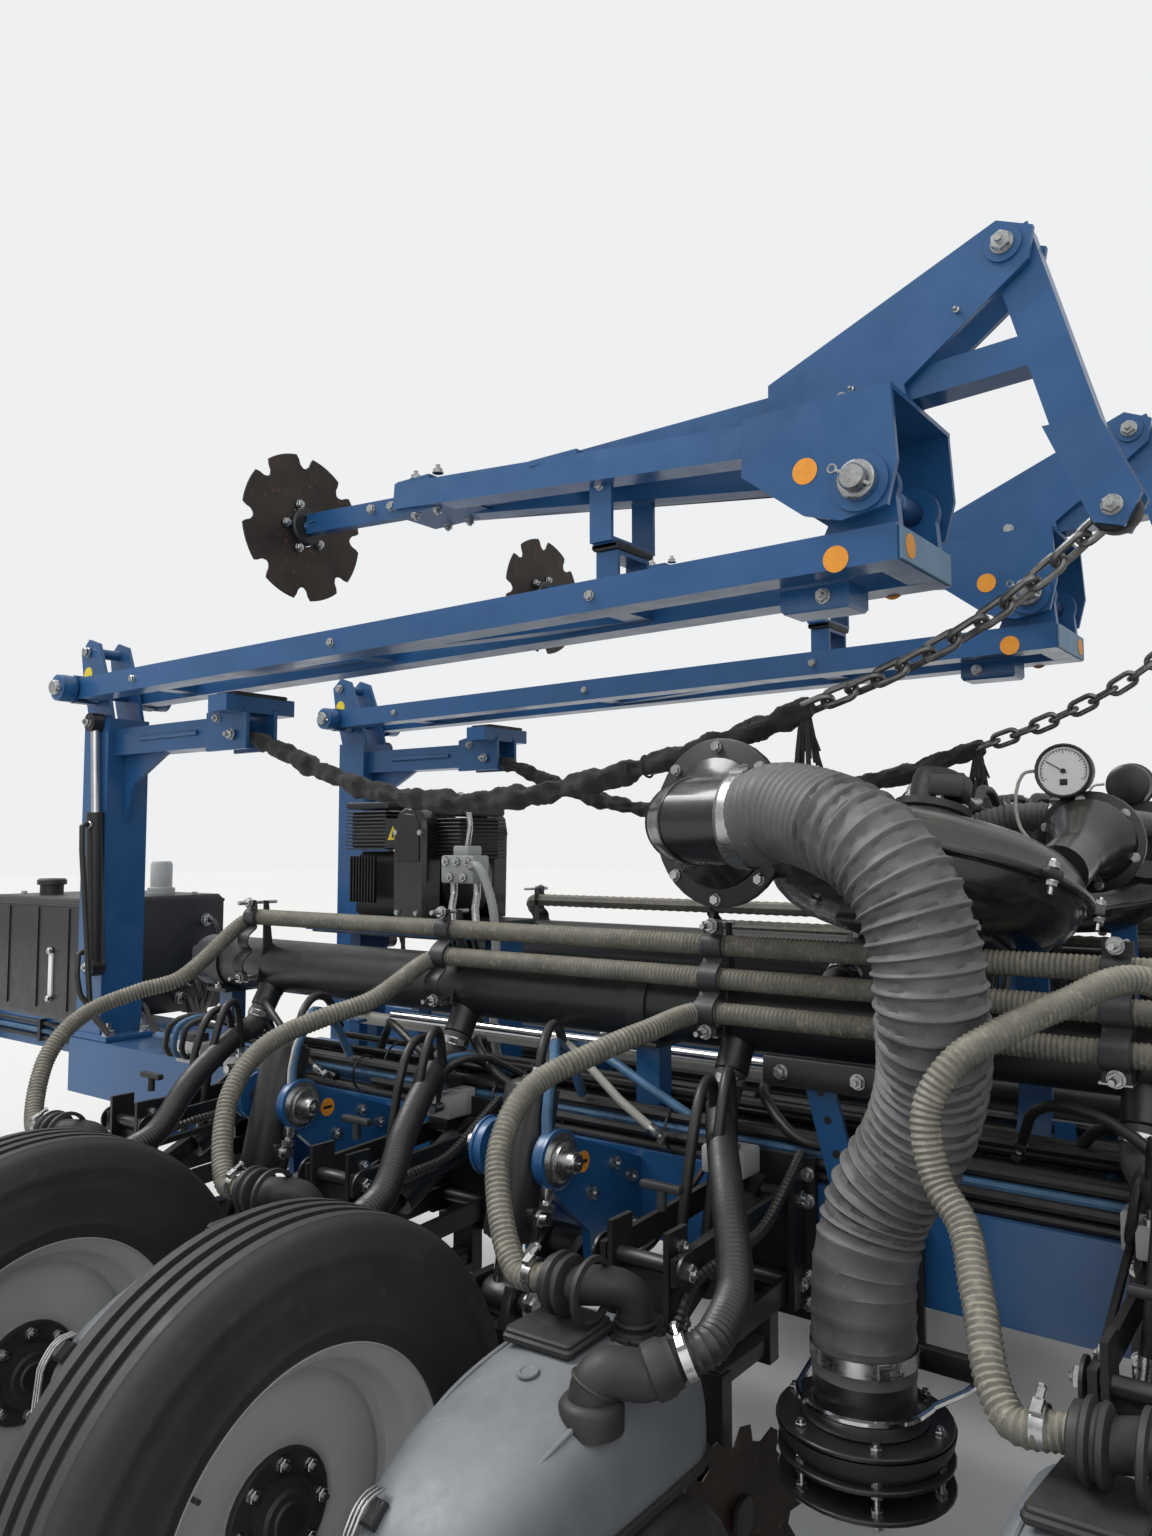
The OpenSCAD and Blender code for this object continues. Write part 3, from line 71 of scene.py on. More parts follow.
# ---------------------------------------------------------------- materials
class Nodes:
    """A material's node tree with short calls for what the looks below use."""

    def __init__(self, name):
        self.mat = bpy.data.materials.new(name)
        self.mat.use_nodes = True
        self.tree = self.mat.node_tree
        self.bsdf = self.tree.nodes["Principled BSDF"]
        self.coord = self.tree.nodes.new("ShaderNodeTexCoord").outputs["Object"]

    def new(self, kind, **values):
        node = self.tree.nodes.new(kind)
        for key, value in values.items():
            if key in node.inputs:
                node.inputs[key].default_value = value
            else:
                setattr(node, key, value)
        return node

    def link(self, a, b):
        self.tree.links.new(a, b)

    def noise(self, scale, detail=3.0, rough=0.55, stretch=None):
        node = self.new("ShaderNodeTexNoise", Scale=scale, Detail=detail, Roughness=rough)
        source = self.coord
        if stretch:
            mapping = self.new("ShaderNodeMapping", Scale=stretch)
            self.link(source, mapping.inputs["Vector"])
            source = mapping.outputs["Vector"]
        self.link(source, node.inputs["Vector"])
        return node.outputs["Fac"]

    def ramp(self, source, stops):
        node = self.new("ShaderNodeValToRGB")
        ramp = node.color_ramp
        while len(ramp.elements) < len(stops):
            ramp.elements.new(0.5)
        for element, (place, colour) in zip(ramp.elements, stops):
            element.position = place
            element.color = (*colour, 1) if len(colour) == 3 else colour
        self.link(source, node.inputs["Fac"])
        return node.outputs["Color"]

    def spread(self, source, low, high, a=0.3, b=0.7):
        node = self.new("ShaderNodeMapRange")
        for key, value in (("From Min", a), ("From Max", b), ("To Min", low), ("To Max", high)):
            node.inputs[key].default_value = value
        self.link(source, node.inputs["Value"])
        return node.outputs["Result"]

    def mix(self, factor, a, b, kind="MIX"):
        node = self.new("ShaderNodeMix", data_type="RGBA", blend_type=kind)
        for socket, value in ((node.inputs[0], factor), (node.inputs[6], a), (node.inputs[7], b)):
            if isinstance(value, bpy.types.NodeSocket):
                self.link(value, socket)
            elif isinstance(value, (int, float)):
                socket.default_value = value
            else:
                socket.default_value = (*value, 1)
        return node.outputs[2]

    def upward(self, low, high):
        """1 on faces that look up, 0 on those that look down or sideways."""
        normal = self.new("ShaderNodeNewGeometry").outputs["Normal"]
        split = self.new("ShaderNodeSeparateXYZ")
        self.link(normal, split.inputs[0])
        return self.spread(split.outputs["Z"], 0.0, 1.0, low, high)

    def times(self, a, b):
        node = self.new("ShaderNodeMath", operation="MULTIPLY")
        for socket, value in zip(node.inputs, (a, b)):
            if isinstance(value, bpy.types.NodeSocket):
                self.link(value, socket)
            else:
                socket.default_value = value
        return node.outputs[0]

    def bump(self, source, strength, depth=0.001):
        node = self.new("ShaderNodeBump", Strength=strength, Distance=depth)
        self.link(source, node.inputs["Height"])
        self.link(node.outputs["Normal"], self.bsdf.inputs["Normal"])


def surface(name, colour, rough, metal=0.0, vary=0.25, scale=6.0, fine=180.0, bump=0.15, depth=0.0006,
            dust=0.0, dust_colour=(0.36, 0.33, 0.28), coat=0.0, grain=None, patches=None, sheen=0.0):
    """A painted, moulded or bare surface: soft colour drift, dust on top, uneven gloss and a fine grain."""
    n = Nodes(name)
    dark = tuple(c * (1 - vary) for c in colour)
    light = tuple(min(1.0, c * (1 + vary)) for c in colour)
    drift = n.noise(scale, 4.0, 0.6)
    base = n.ramp(drift, [(0.3, dark), (0.7, light)])
    if patches:
        place, second = patches
        spots = n.noise(scale * 5, 6.0, 0.7)
        base = n.mix(n.spread(spots, 0, 1, place, place + 0.12), base, second)
    if dust:
        film = n.times(n.upward(0.15, 0.95), n.spread(n.noise(scale * 3, 5.0, 0.7), 0.2, dust, 0.3, 0.75))
        base = n.mix(film, base, dust_colour)
    n.link(base, n.bsdf.inputs["Base Color"])
    low, high = rough
    n.link(n.spread(n.noise(scale * 4, 5.0, 0.65), low, high), n.bsdf.inputs["Roughness"])
    n.bsdf.inputs["Metallic"].default_value = metal
    n.bsdf.inputs["Coat Weight"].default_value = coat
    n.bsdf.inputs["Coat Roughness"].default_value = 0.12
    n.bsdf.inputs["Sheen Weight"].default_value = sheen
    n.bump(n.noise(fine, 4.0, 0.6, grain), bump, depth)
    return n.mat


BLUE = surface("blue paint", (0.0125, 0.076, 0.205), (0.28, 0.44), vary=0.14, scale=3, fine=60, bump=0.10,
               depth=0.0008, dust=0.14, dust_colour=(0.16, 0.21, 0.27), coat=0.2)
BLACK = surface("black paint", (0.012, 0.0125, 0.0135), (0.30, 0.46), vary=0.2, scale=4, fine=120,
                bump=0.10, dust=0.13, dust_colour=(0.10, 0.095, 0.085))
GLOSS = surface("gloss black", (0.009, 0.009, 0.010), (0.20, 0.34), vary=0.15, scale=5, fine=50,
                bump=0.06, dust=0.07, coat=0.25)
MATT = surface("matt black plate", (0.018, 0.019, 0.021), (0.42, 0.58), vary=0.2, scale=8, fine=260, bump=0.2)
GREY = surface("grey moulding", (0.125, 0.135, 0.150), (0.40, 0.62), vary=0.16, scale=7, fine=420,
               bump=0.22, depth=0.0004, dust=0.45, dust_colour=(0.27, 0.28, 0.29),
               patches=(0.60, (0.17, 0.175, 0.185)))
RUBBER = surface("black rubber", (0.014, 0.014, 0.0145), (0.45, 0.68), vary=0.25, scale=9, fine=300,
                 bump=0.2, dust=0.22, dust_colour=(0.085, 0.08, 0.07))
TYRE = surface("tyre rubber", (0.019, 0.0185, 0.018), (0.55, 0.75), vary=0.28, scale=5, fine=240,
               bump=0.3, depth=0.0008, dust=0.25, dust_colour=(0.09, 0.085, 0.078),
               patches=(0.60, (0.038, 0.036, 0.034)))
SILVER = surface("rim paint", (0.36, 0.37, 0.375), (0.36, 0.52), vary=0.10, scale=5, fine=140, bump=0.12,
                 dust=0.3, dust_colour=(0.30, 0.28, 0.25), patches=(0.64, (0.28, 0.27, 0.25)))
STEEL = surface("plated steel", (0.46, 0.465, 0.46), (0.20, 0.38), metal=1.0, vary=0.22, scale=25, fine=300,
                bump=0.12, patches=(0.66, (0.30, 0.28, 0.24)))
BRIGHT = surface("polished rod", (0.62, 0.62, 0.62), (0.10, 0.2), metal=1.0, vary=0.1, scale=12, fine=300,
                 bump=0.04)
WORN = surface("worn steel", (0.030, 0.022, 0.018), (0.38, 0.6), metal=0.35, vary=0.45, scale=9, fine=120,
               bump=0.35, patches=(0.58, (0.13, 0.055, 0.026)))
CHAIN = surface("chain steel", (0.17, 0.17, 0.168), (0.30, 0.5), metal=0.9, vary=0.4, scale=30, fine=260,
                bump=0.3, patches=(0.60, (0.10, 0.075, 0.055)))
TAN = surface("seed hose", (0.115, 0.112, 0.096), (0.5, 0.72), vary=0.28, scale=14, fine=260, bump=0.25,
              dust=0.8, dust_colour=(0.32, 0.295, 0.225), patches=(0.54, (0.22, 0.205, 0.155)))
RIBBED = surface("exhaust hose", (0.078, 0.080, 0.080), (0.48, 0.7), vary=0.3, scale=10, fine=160,
                 bump=0.35, depth=0.0012, dust=0.5, dust_colour=(0.22, 0.215, 0.195),
                 patches=(0.60, (0.15, 0.148, 0.135)))
CUFF = surface("grey cuff", (0.042, 0.042, 0.042), (0.42, 0.6), vary=0.3, scale=12, fine=200, bump=0.2,
               dust=0.4, dust_colour=(0.16, 0.15, 0.125))
HOSE = surface("hydraulic hose", (0.013, 0.013, 0.0135), (0.34, 0.55), vary=0.3, scale=20, fine=300,
               bump=0.2, dust=0.25, dust_colour=(0.10, 0.095, 0.085))
STRIPE = surface("striped hose", (0.045, 0.115, 0.21), (0.4, 0.55), vary=0.35, scale=24, fine=300, bump=0.2,
                 patches=(0.58, (0.013, 0.013, 0.014)))
PALE = surface("pale pipe", (0.42, 0.41, 0.37), (0.35, 0.5), vary=0.08, scale=8, fine=200, bump=0.1,
               dust=0.2)
TANK = surface("moulded tank", (0.50, 0.51, 0.51), (0.42, 0.58), vary=0.06, scale=4, fine=220, bump=0.15,
               dust=0.2)
ORANGE = surface("orange spot", (0.70, 0.27, 0.02), (0.4, 0.55), vary=0.08, scale=60, fine=300, bump=0.05)
YELLOW = surface("yellow spot", (0.72, 0.55, 0.03), (0.4, 0.55), vary=0.08, scale=60, fine=300, bump=0.05)
WHITE = surface("dial face", (0.72, 0.72, 0.70), (0.25, 0.35), vary=0.03, scale=60, fine=300, bump=0.03)
CLOTH = surface("frayed sleeve", (0.011, 0.0108, 0.0105), (0.75, 0.95), vary=0.5, scale=40, fine=500,
                bump=0.9, depth=0.002, sheen=0.15, grain=(1, 1, 2.5))
# Painted highlight: a lighter copy of the blue paint for the marker arm's end face, standing in for the light
# that face catches.
LIT_FACE_BLUE = surface("blue face with painted highlight", (0.10, 0.20, 0.30), (0.35, 0.5), vary=0.12, scale=8, fine=90, bump=0.1)


# ---------------------------------------------------------------- shapes
def unit(v):
    v = np.asarray(v, float)
    return v / max(np.linalg.norm(v), 1e-12)


def basis(axis):
    """Three perpendicular unit vectors, the last along axis."""
    w = unit(axis)
    u = unit(np.cross(Y if abs(w[1]) < 0.9 else X, w))
    return np.array([u, np.cross(w, u), w])


def spokes(u, v, n):
    """n unit spokes in the plane of u and v, which are one pair or a pair for each point of a path."""
    a = np.arange(n) * 2 * pi / n
    return np.asarray(u)[..., None, :] * np.cos(a)[:, None] + np.asarray(v)[..., None, :] * np.sin(a)[:, None]


def turns(n, start=0.0):
    """n even angles round a circle."""
    return [2 * pi * k / n + start for k in range(n)]


def around(centre, u, v, radius, n, start=0.0):
    """n points round a centre in the plane of u and v."""
    centre, u, v = (np.asarray(q, float) for q in (centre, u, v))
    return [centre + radius * cos(t) * u + radius * sin(t) * v for t in turns(n, start)]


def arc(centre, radius, a0, a1, n):
    """Points of an arc in a plane, angles in degrees."""
    x, y = centre
    return [(x + radius * cos(t), y + radius * sin(t)) for t in np.radians(np.linspace(a0, a1, n))]


def sides(n, radius, steps):
    """n, or fewer where the steps allow this radius no more."""
    return min([n] + [most for limit, most in steps if radius < limit])


def smooth(points, step):
    """Points a step apart on a smooth line through the given ones, as part.scad draws its hoses."""
    p = np.asarray(points, float)
    slopes = [unit(p[min(i + 1, len(p) - 1)] - p[max(i - 1, 0)]) for i in range(len(p))]
    line = []
    for i in range(len(p) - 1):
        length = np.linalg.norm(p[i + 1] - p[i])
        m, n = length * slopes[i], length * slopes[i + 1]
        for t in (np.linspace(0, 1, 24, endpoint=False) if length <= 700 else [0.0]):
            line.append((2 * t**3 - 3 * t**2 + 1) * p[i] + (t**3 - 2 * t**2 + t) * m
                        + (3 * t**2 - 2 * t**3) * p[i + 1] + (t**3 - t**2) * n)
    line = np.array(line + [p[-1]])
    along = np.concatenate([[0], np.cumsum(np.linalg.norm(np.diff(line, axis=0), axis=1))])
    count = max(2, int(round(along[-1] / step)) + 1)
    want = np.linspace(0, along[-1], count)
    return np.column_stack([np.interp(want, along, line[:, k]) for k in range(3)])


def carried(path, closed=False):
    """Two normals at each point of a path, turned as little as possible."""
    if closed:
        tangents = np.array([unit(path[(i + 1) % len(path)] - path[i - 1]) for i in range(len(path))])
    else:
        tangents = np.gradient(path, axis=0)
        tangents /= np.linalg.norm(tangents, axis=1)[:, None]
    n = basis(tangents[0])[0]
    normals = []
    for t in tangents:
        n = unit(n - np.dot(n, t) * t)
        normals.append(n)
    normals = np.array(normals)
    return normals, np.cross(tangents, normals)


def thinned(path, turn):
    """The path without the points that turn it by less than so many degrees."""
    keep = [0]
    for k in range(1, len(path) - 1):
        a, b = unit(path[k] - path[keep[-1]]), unit(path[k + 1] - path[k])
        if np.dot(a, b) < cos(radians(turn)):
            keep.append(k)
    return path[keep + [len(path) - 1]] if len(path) > 2 else path


class Part:
    """One piece of the scene, drawn for the left side in millimetres from the hinge line."""

    def __init__(self, name):
        self.name, self.count = name, 0
        self.points, self.faces, self.index, self.mats = [], [], [], []

    def add(self, points, faces, mat):
        if mat not in self.mats:
            self.mats.append(mat)
        k = self.mats.index(mat)
        points = np.asarray(points, float).reshape(-1, 3)
        self.points.append(points)
        self.faces += [tuple(i + self.count for i in f) for f in faces]
        self.index += [k] * len(faces)
        self.count += len(points)

    def grid(self, rows, mat, wrap_u=False, wrap_v=True, cap=(False, False)):
        """Quads over an array of rings of points."""
        rows = np.asarray(rows, float)
        a, b = rows.shape[:2]
        faces = []
        for i in range(a if wrap_u else a - 1):
            i2 = (i + 1) % a
            for j in range(b if wrap_v else b - 1):
                j2 = (j + 1) % b
                faces.append((i * b + j, i * b + j2, i2 * b + j2, i2 * b + j))
        if cap[0]:
            faces.append(tuple(range(b - 1, -1, -1)))
        if cap[1]:
            faces.append(tuple((a - 1) * b + j for j in range(b)))
        self.add(rows, faces, mat)

    def tube(self, path, radius, mat, n=12):
        """A round bar along a path; its radius may be one for each point."""
        path = np.asarray(path, float)
        if np.ndim(radius) == 0:
            path = thinned(path, 7.5)
            n = sides(n, radius, TUBE_SIDES)
        r = np.broadcast_to(np.asarray(radius, float), (len(path),))
        rings = spokes(*carried(path), n)
        self.grid(path[:, None, :] + r[:, None, None] * rings, mat, cap=(True, True))

    def lathe(self, profile, origin, axis, mat, n=32, loop=False):
        """Turned shape: profile is (radius, height along axis) pairs; a loop closes on itself."""
        u, v, w = basis(axis)
        p = np.asarray(profile, float)
        ring = spokes(u, v, sides(n, p[:, 0].max(), LATHE_SIDES))
        rows = np.asarray(origin, float) + p[:, 0, None, None] * ring[None] + p[:, 1, None, None] * w
        self.grid(rows, mat, wrap_u=loop, cap=(not loop, not loop))

    def disc(self, at, axis, radius, thick, mat, n):
        self.lathe([(radius, 0), (radius, thick)], at, axis, mat, n)

    def prism(self, outline, axes, origin, depth, mat, bevel=0.0):
        """A plate: outline in the plane of axes[0], axes[1] from origin, thick along axes[2]."""
        o = np.asarray(outline, float)
        if sum(o[i - 1][0] * o[i][1] - o[i][0] * o[i - 1][1] for i in range(len(o))) < 0:
            o = o[::-1]
        u, v, w = (np.asarray(x, float) for x in axes)
        layers = [(0, 0), (depth, 0)]
        if bevel:
            layers = [(0, bevel), (bevel, 0), (depth - bevel, 0), (depth, bevel)]
        ahead, behind = np.roll(o, -1, axis=0) - o, o - np.roll(o, 1, axis=0)
        normal = np.array([unit(unit([a[1], -a[0]]) + unit([b[1], -b[0]])) for a, b in zip(ahead, behind)])
        rows = []
        for h, inset in layers:
            q = o - normal * inset
            rows.append(np.asarray(origin, float) + q[:, :1] * u + q[:, 1:] * v + h * w)
        if np.dot(np.cross(u, v), w) < 0:
            rows = [r[::-1] for r in rows]
        self.grid(rows, mat, cap=(True, True))

    def yplate(self, outline, y0, y1, mat, bevel=1.5):
        """Plate drawn in x-z between two y."""
        self.prism(outline, (X, Z, Y), (0, min(y0, y1), 0), abs(y1 - y0), mat, bevel)

    def xplate(self, outline, x0, x1, mat, bevel=1.5):
        """Plate drawn in y-z between two x."""
        self.prism(outline, (Y, Z, X), (min(x0, x1), 0, 0), abs(x1 - x0), mat, bevel)

    def zplate(self, outline, z0, z1, mat, bevel=1.5):
        """Plate drawn in x-y between two z."""
        self.prism(outline, (X, Y, Z), (0, 0, min(z0, z1)), abs(z1 - z0), mat, bevel)

    def block(self, centre, size, mat, bevel=3.0, axes=None):
        """A box with chamfered edges."""
        u, v, w = axes if axes is not None else np.eye(3)
        sx, sy, sz = (s / 2 for s in size)
        c = np.asarray(centre, float)
        self.prism([[-sx, -sy], [sx, -sy], [sx, sy], [-sx, sy]], (u, v, w), c - np.asarray(w) * sz,
                   2 * sz, mat, min(bevel, sx, sy, sz * 0.9))

    def ring(self, centre, axis, big, small, mat, n=32, m=10):
        """A torus."""
        profile = [(big + small * cos(t), small * sin(t)) for t in turns(m)]
        self.lathe(profile, centre, axis, mat, n, loop=True)

    def bolt(self, at, axis, size=16.0, mat=None, washer=True, thread=0.0):
        """Hex head or nut on a washer, with an optional bare thread, standing on a face."""
        mat = mat or STEEL
        u, v, w = basis(axis)
        at = np.asarray(at, float)
        base = 0.0
        if washer:
            self.disc(at, w, size * 0.62, size * 0.12, mat, 14)
            base = size * 0.12
        hexagon = spokes(u, v, 6)
        head = ((0, 0.55), (0.36, 0.55), (0.42, 0.49))
        rows = [at + (base + h * size) * w + r * size * hexagon for h, r in head]
        self.grid(rows, mat, cap=(True, True))
        base += size * 0.40
        if thread:
            count = max(2, int(thread / (size * 0.13)))
            prof = [(size * (0.27 if k % 2 else 0.235), thread * k / count) for k in range(count + 1)]
            self.lathe(prof, at + base * w, w, mat, 8)

    def merge(self, other, shift=(0, 0, 0), turn=None):
        """A copy of another part's shapes, turned and then shifted."""
        points = np.vstack(other.points)
        if turn is not None:
            points = points @ np.asarray(turn, float).T
        self.mats += [m for m in other.mats if m not in self.mats]
        self.faces += [tuple(i + self.count for i in f) for f in other.faces]
        self.index += [self.mats.index(other.mats[k]) for k in other.index]
        self.points.append(points + np.asarray(shift, float))
        self.count += len(points)

    def make(self, body, side=1, slot=None, replaces=(), suffix=True):
        """The Blender object, mirrored for the right side."""
        name = self.name + (("_l" if side > 0 else "_r") if suffix else "")
        points = np.vstack(self.points).copy()
        faces = self.faces
        if side < 0:
            points[:, 1] *= -1
            faces = [f[::-1] for f in faces]
        points[:, 0] -= MID
        mesh = bpy.data.meshes.new(name)
        mesh.from_pydata((points / 1000).tolist(), [], faces)
        for m in self.mats:
            mesh.materials.append(m)
        mesh.polygons.foreach_set("material_index", self.index)
        mesh.polygons.foreach_set("use_smooth", [True] * len(faces))
        mesh.set_sharp_from_angle(angle=radians(38))
        mesh.update()
        piece = bpy.data.objects.new(name, mesh)
        bpy.context.scene.collection.objects.link(piece)
        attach(piece, body)
        if replaces:
            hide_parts(*replaces)
        return piece

    def both(self, body, slot=None, replaces=()):
        """The piece on each wing."""
        for side, t in ((1, "_l"), (-1, "_r")):
            self.make(body + t, side, slot, [r + t for r in replaces])


def band(part, centre, axis, radius, width=14.0, screw=Z, mat=None):
    """Worm-drive clamp: a band with its screw housing and bolt head."""
    mat = mat or STEEL
    w = unit(axis)
    half, outer = width / 2, radius + 1.6
    profile = [(radius, -half), (outer, -half), (outer, half), (radius, half)]
    part.lathe(profile, centre, w, mat, 40, loop=True)
    out = unit(np.asarray(screw, float) - np.dot(screw, w) * w)
    side = np.cross(w, out)
    c = np.asarray(centre, float) + out * (radius + 5)
    part.block(c, (20, width * 0.9, 9), mat, 1.5, (side, w, out))
    part.tube([c + side * 8 + out * 2, c + side * 24 + out * 2], 5.0, mat, 8)
    part.bolt(c + side * 24 + out * 2, side, 11, mat, washer=False)


# ---------------------------------------------------------------- carried-over CAD nodes
def dress(names, mat, bevel=0.0, sides=True):
    """Gives CAD nodes their material, and soft edges by a weld and a bevel."""
    for name in names:
        for node in ([name + "_l", name + "_r"] if sides else [name]):
            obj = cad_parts[node]
            if not obj.material_slots:
                obj.data.materials.append(mat)
            for s in obj.material_slots:
                s.material = mat
            if bevel:
                weld = obj.modifiers.new("weld", "WELD")
                weld.merge_threshold = 2e-5
                edge = obj.modifiers.new("bevel", "BEVEL")
                edge.width, edge.segments, edge.limit_method = bevel, 2, "ANGLE"
                edge.angle_limit, edge.harden_normals = radians(48), False


dress(["wing_toolbar", "marker_post", "marker_arm", "marker_boom", "transport_arm"], BLUE, 0.003)
dress(["center_frame", "tongue"], BLUE, 0.003, sides=False)
dress(["row_frames", "wheel_arms", "lift_cylinders"], BLACK, 0.0015)
dress(["center_row_frames"], BLACK, 0.0015, sides=False)
dress(["row_discs"], WORN)
dress(["center_row_discs"], WORN, sides=False)
dress(["jack_leg"], STEEL, 0.002, sides=False)
dress(["platform"], BLACK, 0.003, sides=False)
dress(["seed_tank"], TANK, 0.012)
dress(["tank_lid"], MATT, 0.004)


# ---------------------------------------------------------------- wheels
def wheel(part, centre, axis, radius, width, rim, grooves=3):
    """Implement tyre with circling grooves: crowned tread, shoulders, sidewall rings and bead."""
    w = width / 2
    bead = [(0, 18), (6, 14), (16, 6), (24, 5), (27, 3), (34, 3), (37, 4.5), (60, 0.5), (90, 0.5), (96, 0),
            (102, 1)]
    shoulder = [(62, 5), (58, 3.5), (50, 6), (34, 12), (18, 19), (8, 28), (5, 36)]
    half = [(rim + r, w - h) for r, h in bead] + [(radius - r, w - h) for r, h in shoulder]

    def crown(h, sunk=0.0):
        return radius - 4.0 * (h / w) ** 2 - sunk

    edges = np.linspace(w - 40, 40 - w, grooves * 2 + 2)
    tread = []
    for a, b in zip(edges[::2], edges[1::2]):
        m = (a + b) / 2
        tread += [(crown(a, 9), a + 1.5), (crown(a), a), (crown(m), m), (crown(b), b), (crown(b, 9), b - 1.5)]
    profile = half + tread[1:-1] + [(r, -h) for r, h in reversed(half)]
    part.lathe(profile + [(rim - 1, 22 - w), (rim - 1, w - 22)], centre, axis, TYRE, 112, loop=True)


def wheels():
    tyres, rims = Part("planter_tyres"), Part("planter_rims")
    dish = [(262, -86), (268, -84), (268, -79), (258, -74), (250, -66), (236, -58), (229, -44), (228, -20),
            (219, -2), (204, 2), (196, -2), (188, -6), (150, -3), (112, 0), (104, 4), (95, 5), (60, 5),
            (60, 12), (100, 12), (190, 3), (205, 9), (222, 6), (234, -10), (234, 44), (241, 56), (252, 66),
            (262, 74), (268, 79), (268, 84), (262, 86), (255, 80), (238, 62), (230, 50), (238, 20),
            (238, -40), (246, -58), (256, -70), (261, -78)]
    hub = [(24, -28), (28, -24), (40, -24), (44, -18), (58, -16), (60, -6), (92, -4), (95, 0), (95, 6),
           (76, 6), (74, 30), (70, 84), (66, 88), (26, 88), (26, 60)]
    for x in WHEELS:
        c = (x, AXLE_Y, AXLE_Z)
        wheel(tyres, c, X, 450, 205, 263)
        rims.lathe(dish, c, X, SILVER, 96, loop=True)
        rims.lathe(hub, c, X, MATT, 48)
        for q in around((x - 4, AXLE_Y, AXLE_Z), Y, Z, 76, 8):
            rims.bolt(q, (-1, 0, 0), 19, thread=8)
        # valve stem
        rims.tube(np.add(c, [(-55, 180, 118), (-30, 184, 121), (-8, 186, 122)]), 4, STEEL, 8)
    tyres.both("wing_wheels", "tyre", ["wing_tyres"])
    rims.both("wing_wheels", "rim_silver", ["wing_rims"])

    tyre, rim = Part("transport_tyre_tread"), Part("transport_rim_dish")
    c = (-2150, 762, 535)
    dish = [(292, -150), (298, -146), (298, -140), (286, -132), (278, -120), (272, -60), (268, 0), (262, 20),
            (200, 34), (120, 30), (60, 30), (60, 42), (130, 42), (210, 46), (262, 36), (276, 60), (278, 120),
            (286, 132), (298, 140), (298, 146), (292, 150), (284, 130), (290, 60), (290, -120)]
    hub = [(46, -66), (110, -60), (110, 36), (104, 60), (80, 76), (74, 108), (46, 110)]
    wheel(tyre, c, Y, 535, 386, 293, 4)
    rim.lathe(dish, c, Y, SILVER, 96, loop=True)
    rim.lathe(hub, c, Y, MATT, 48, loop=True)
    for q in around((-2150, 804, 535), X, Z, 150, 8):
        rim.bolt(q, Y, 26, thread=10)
    tyre.both("transport_wheel", "tyre", ["transport_tyre"])
    rim.both("transport_wheel", "rim_silver", ["transport_rim"])


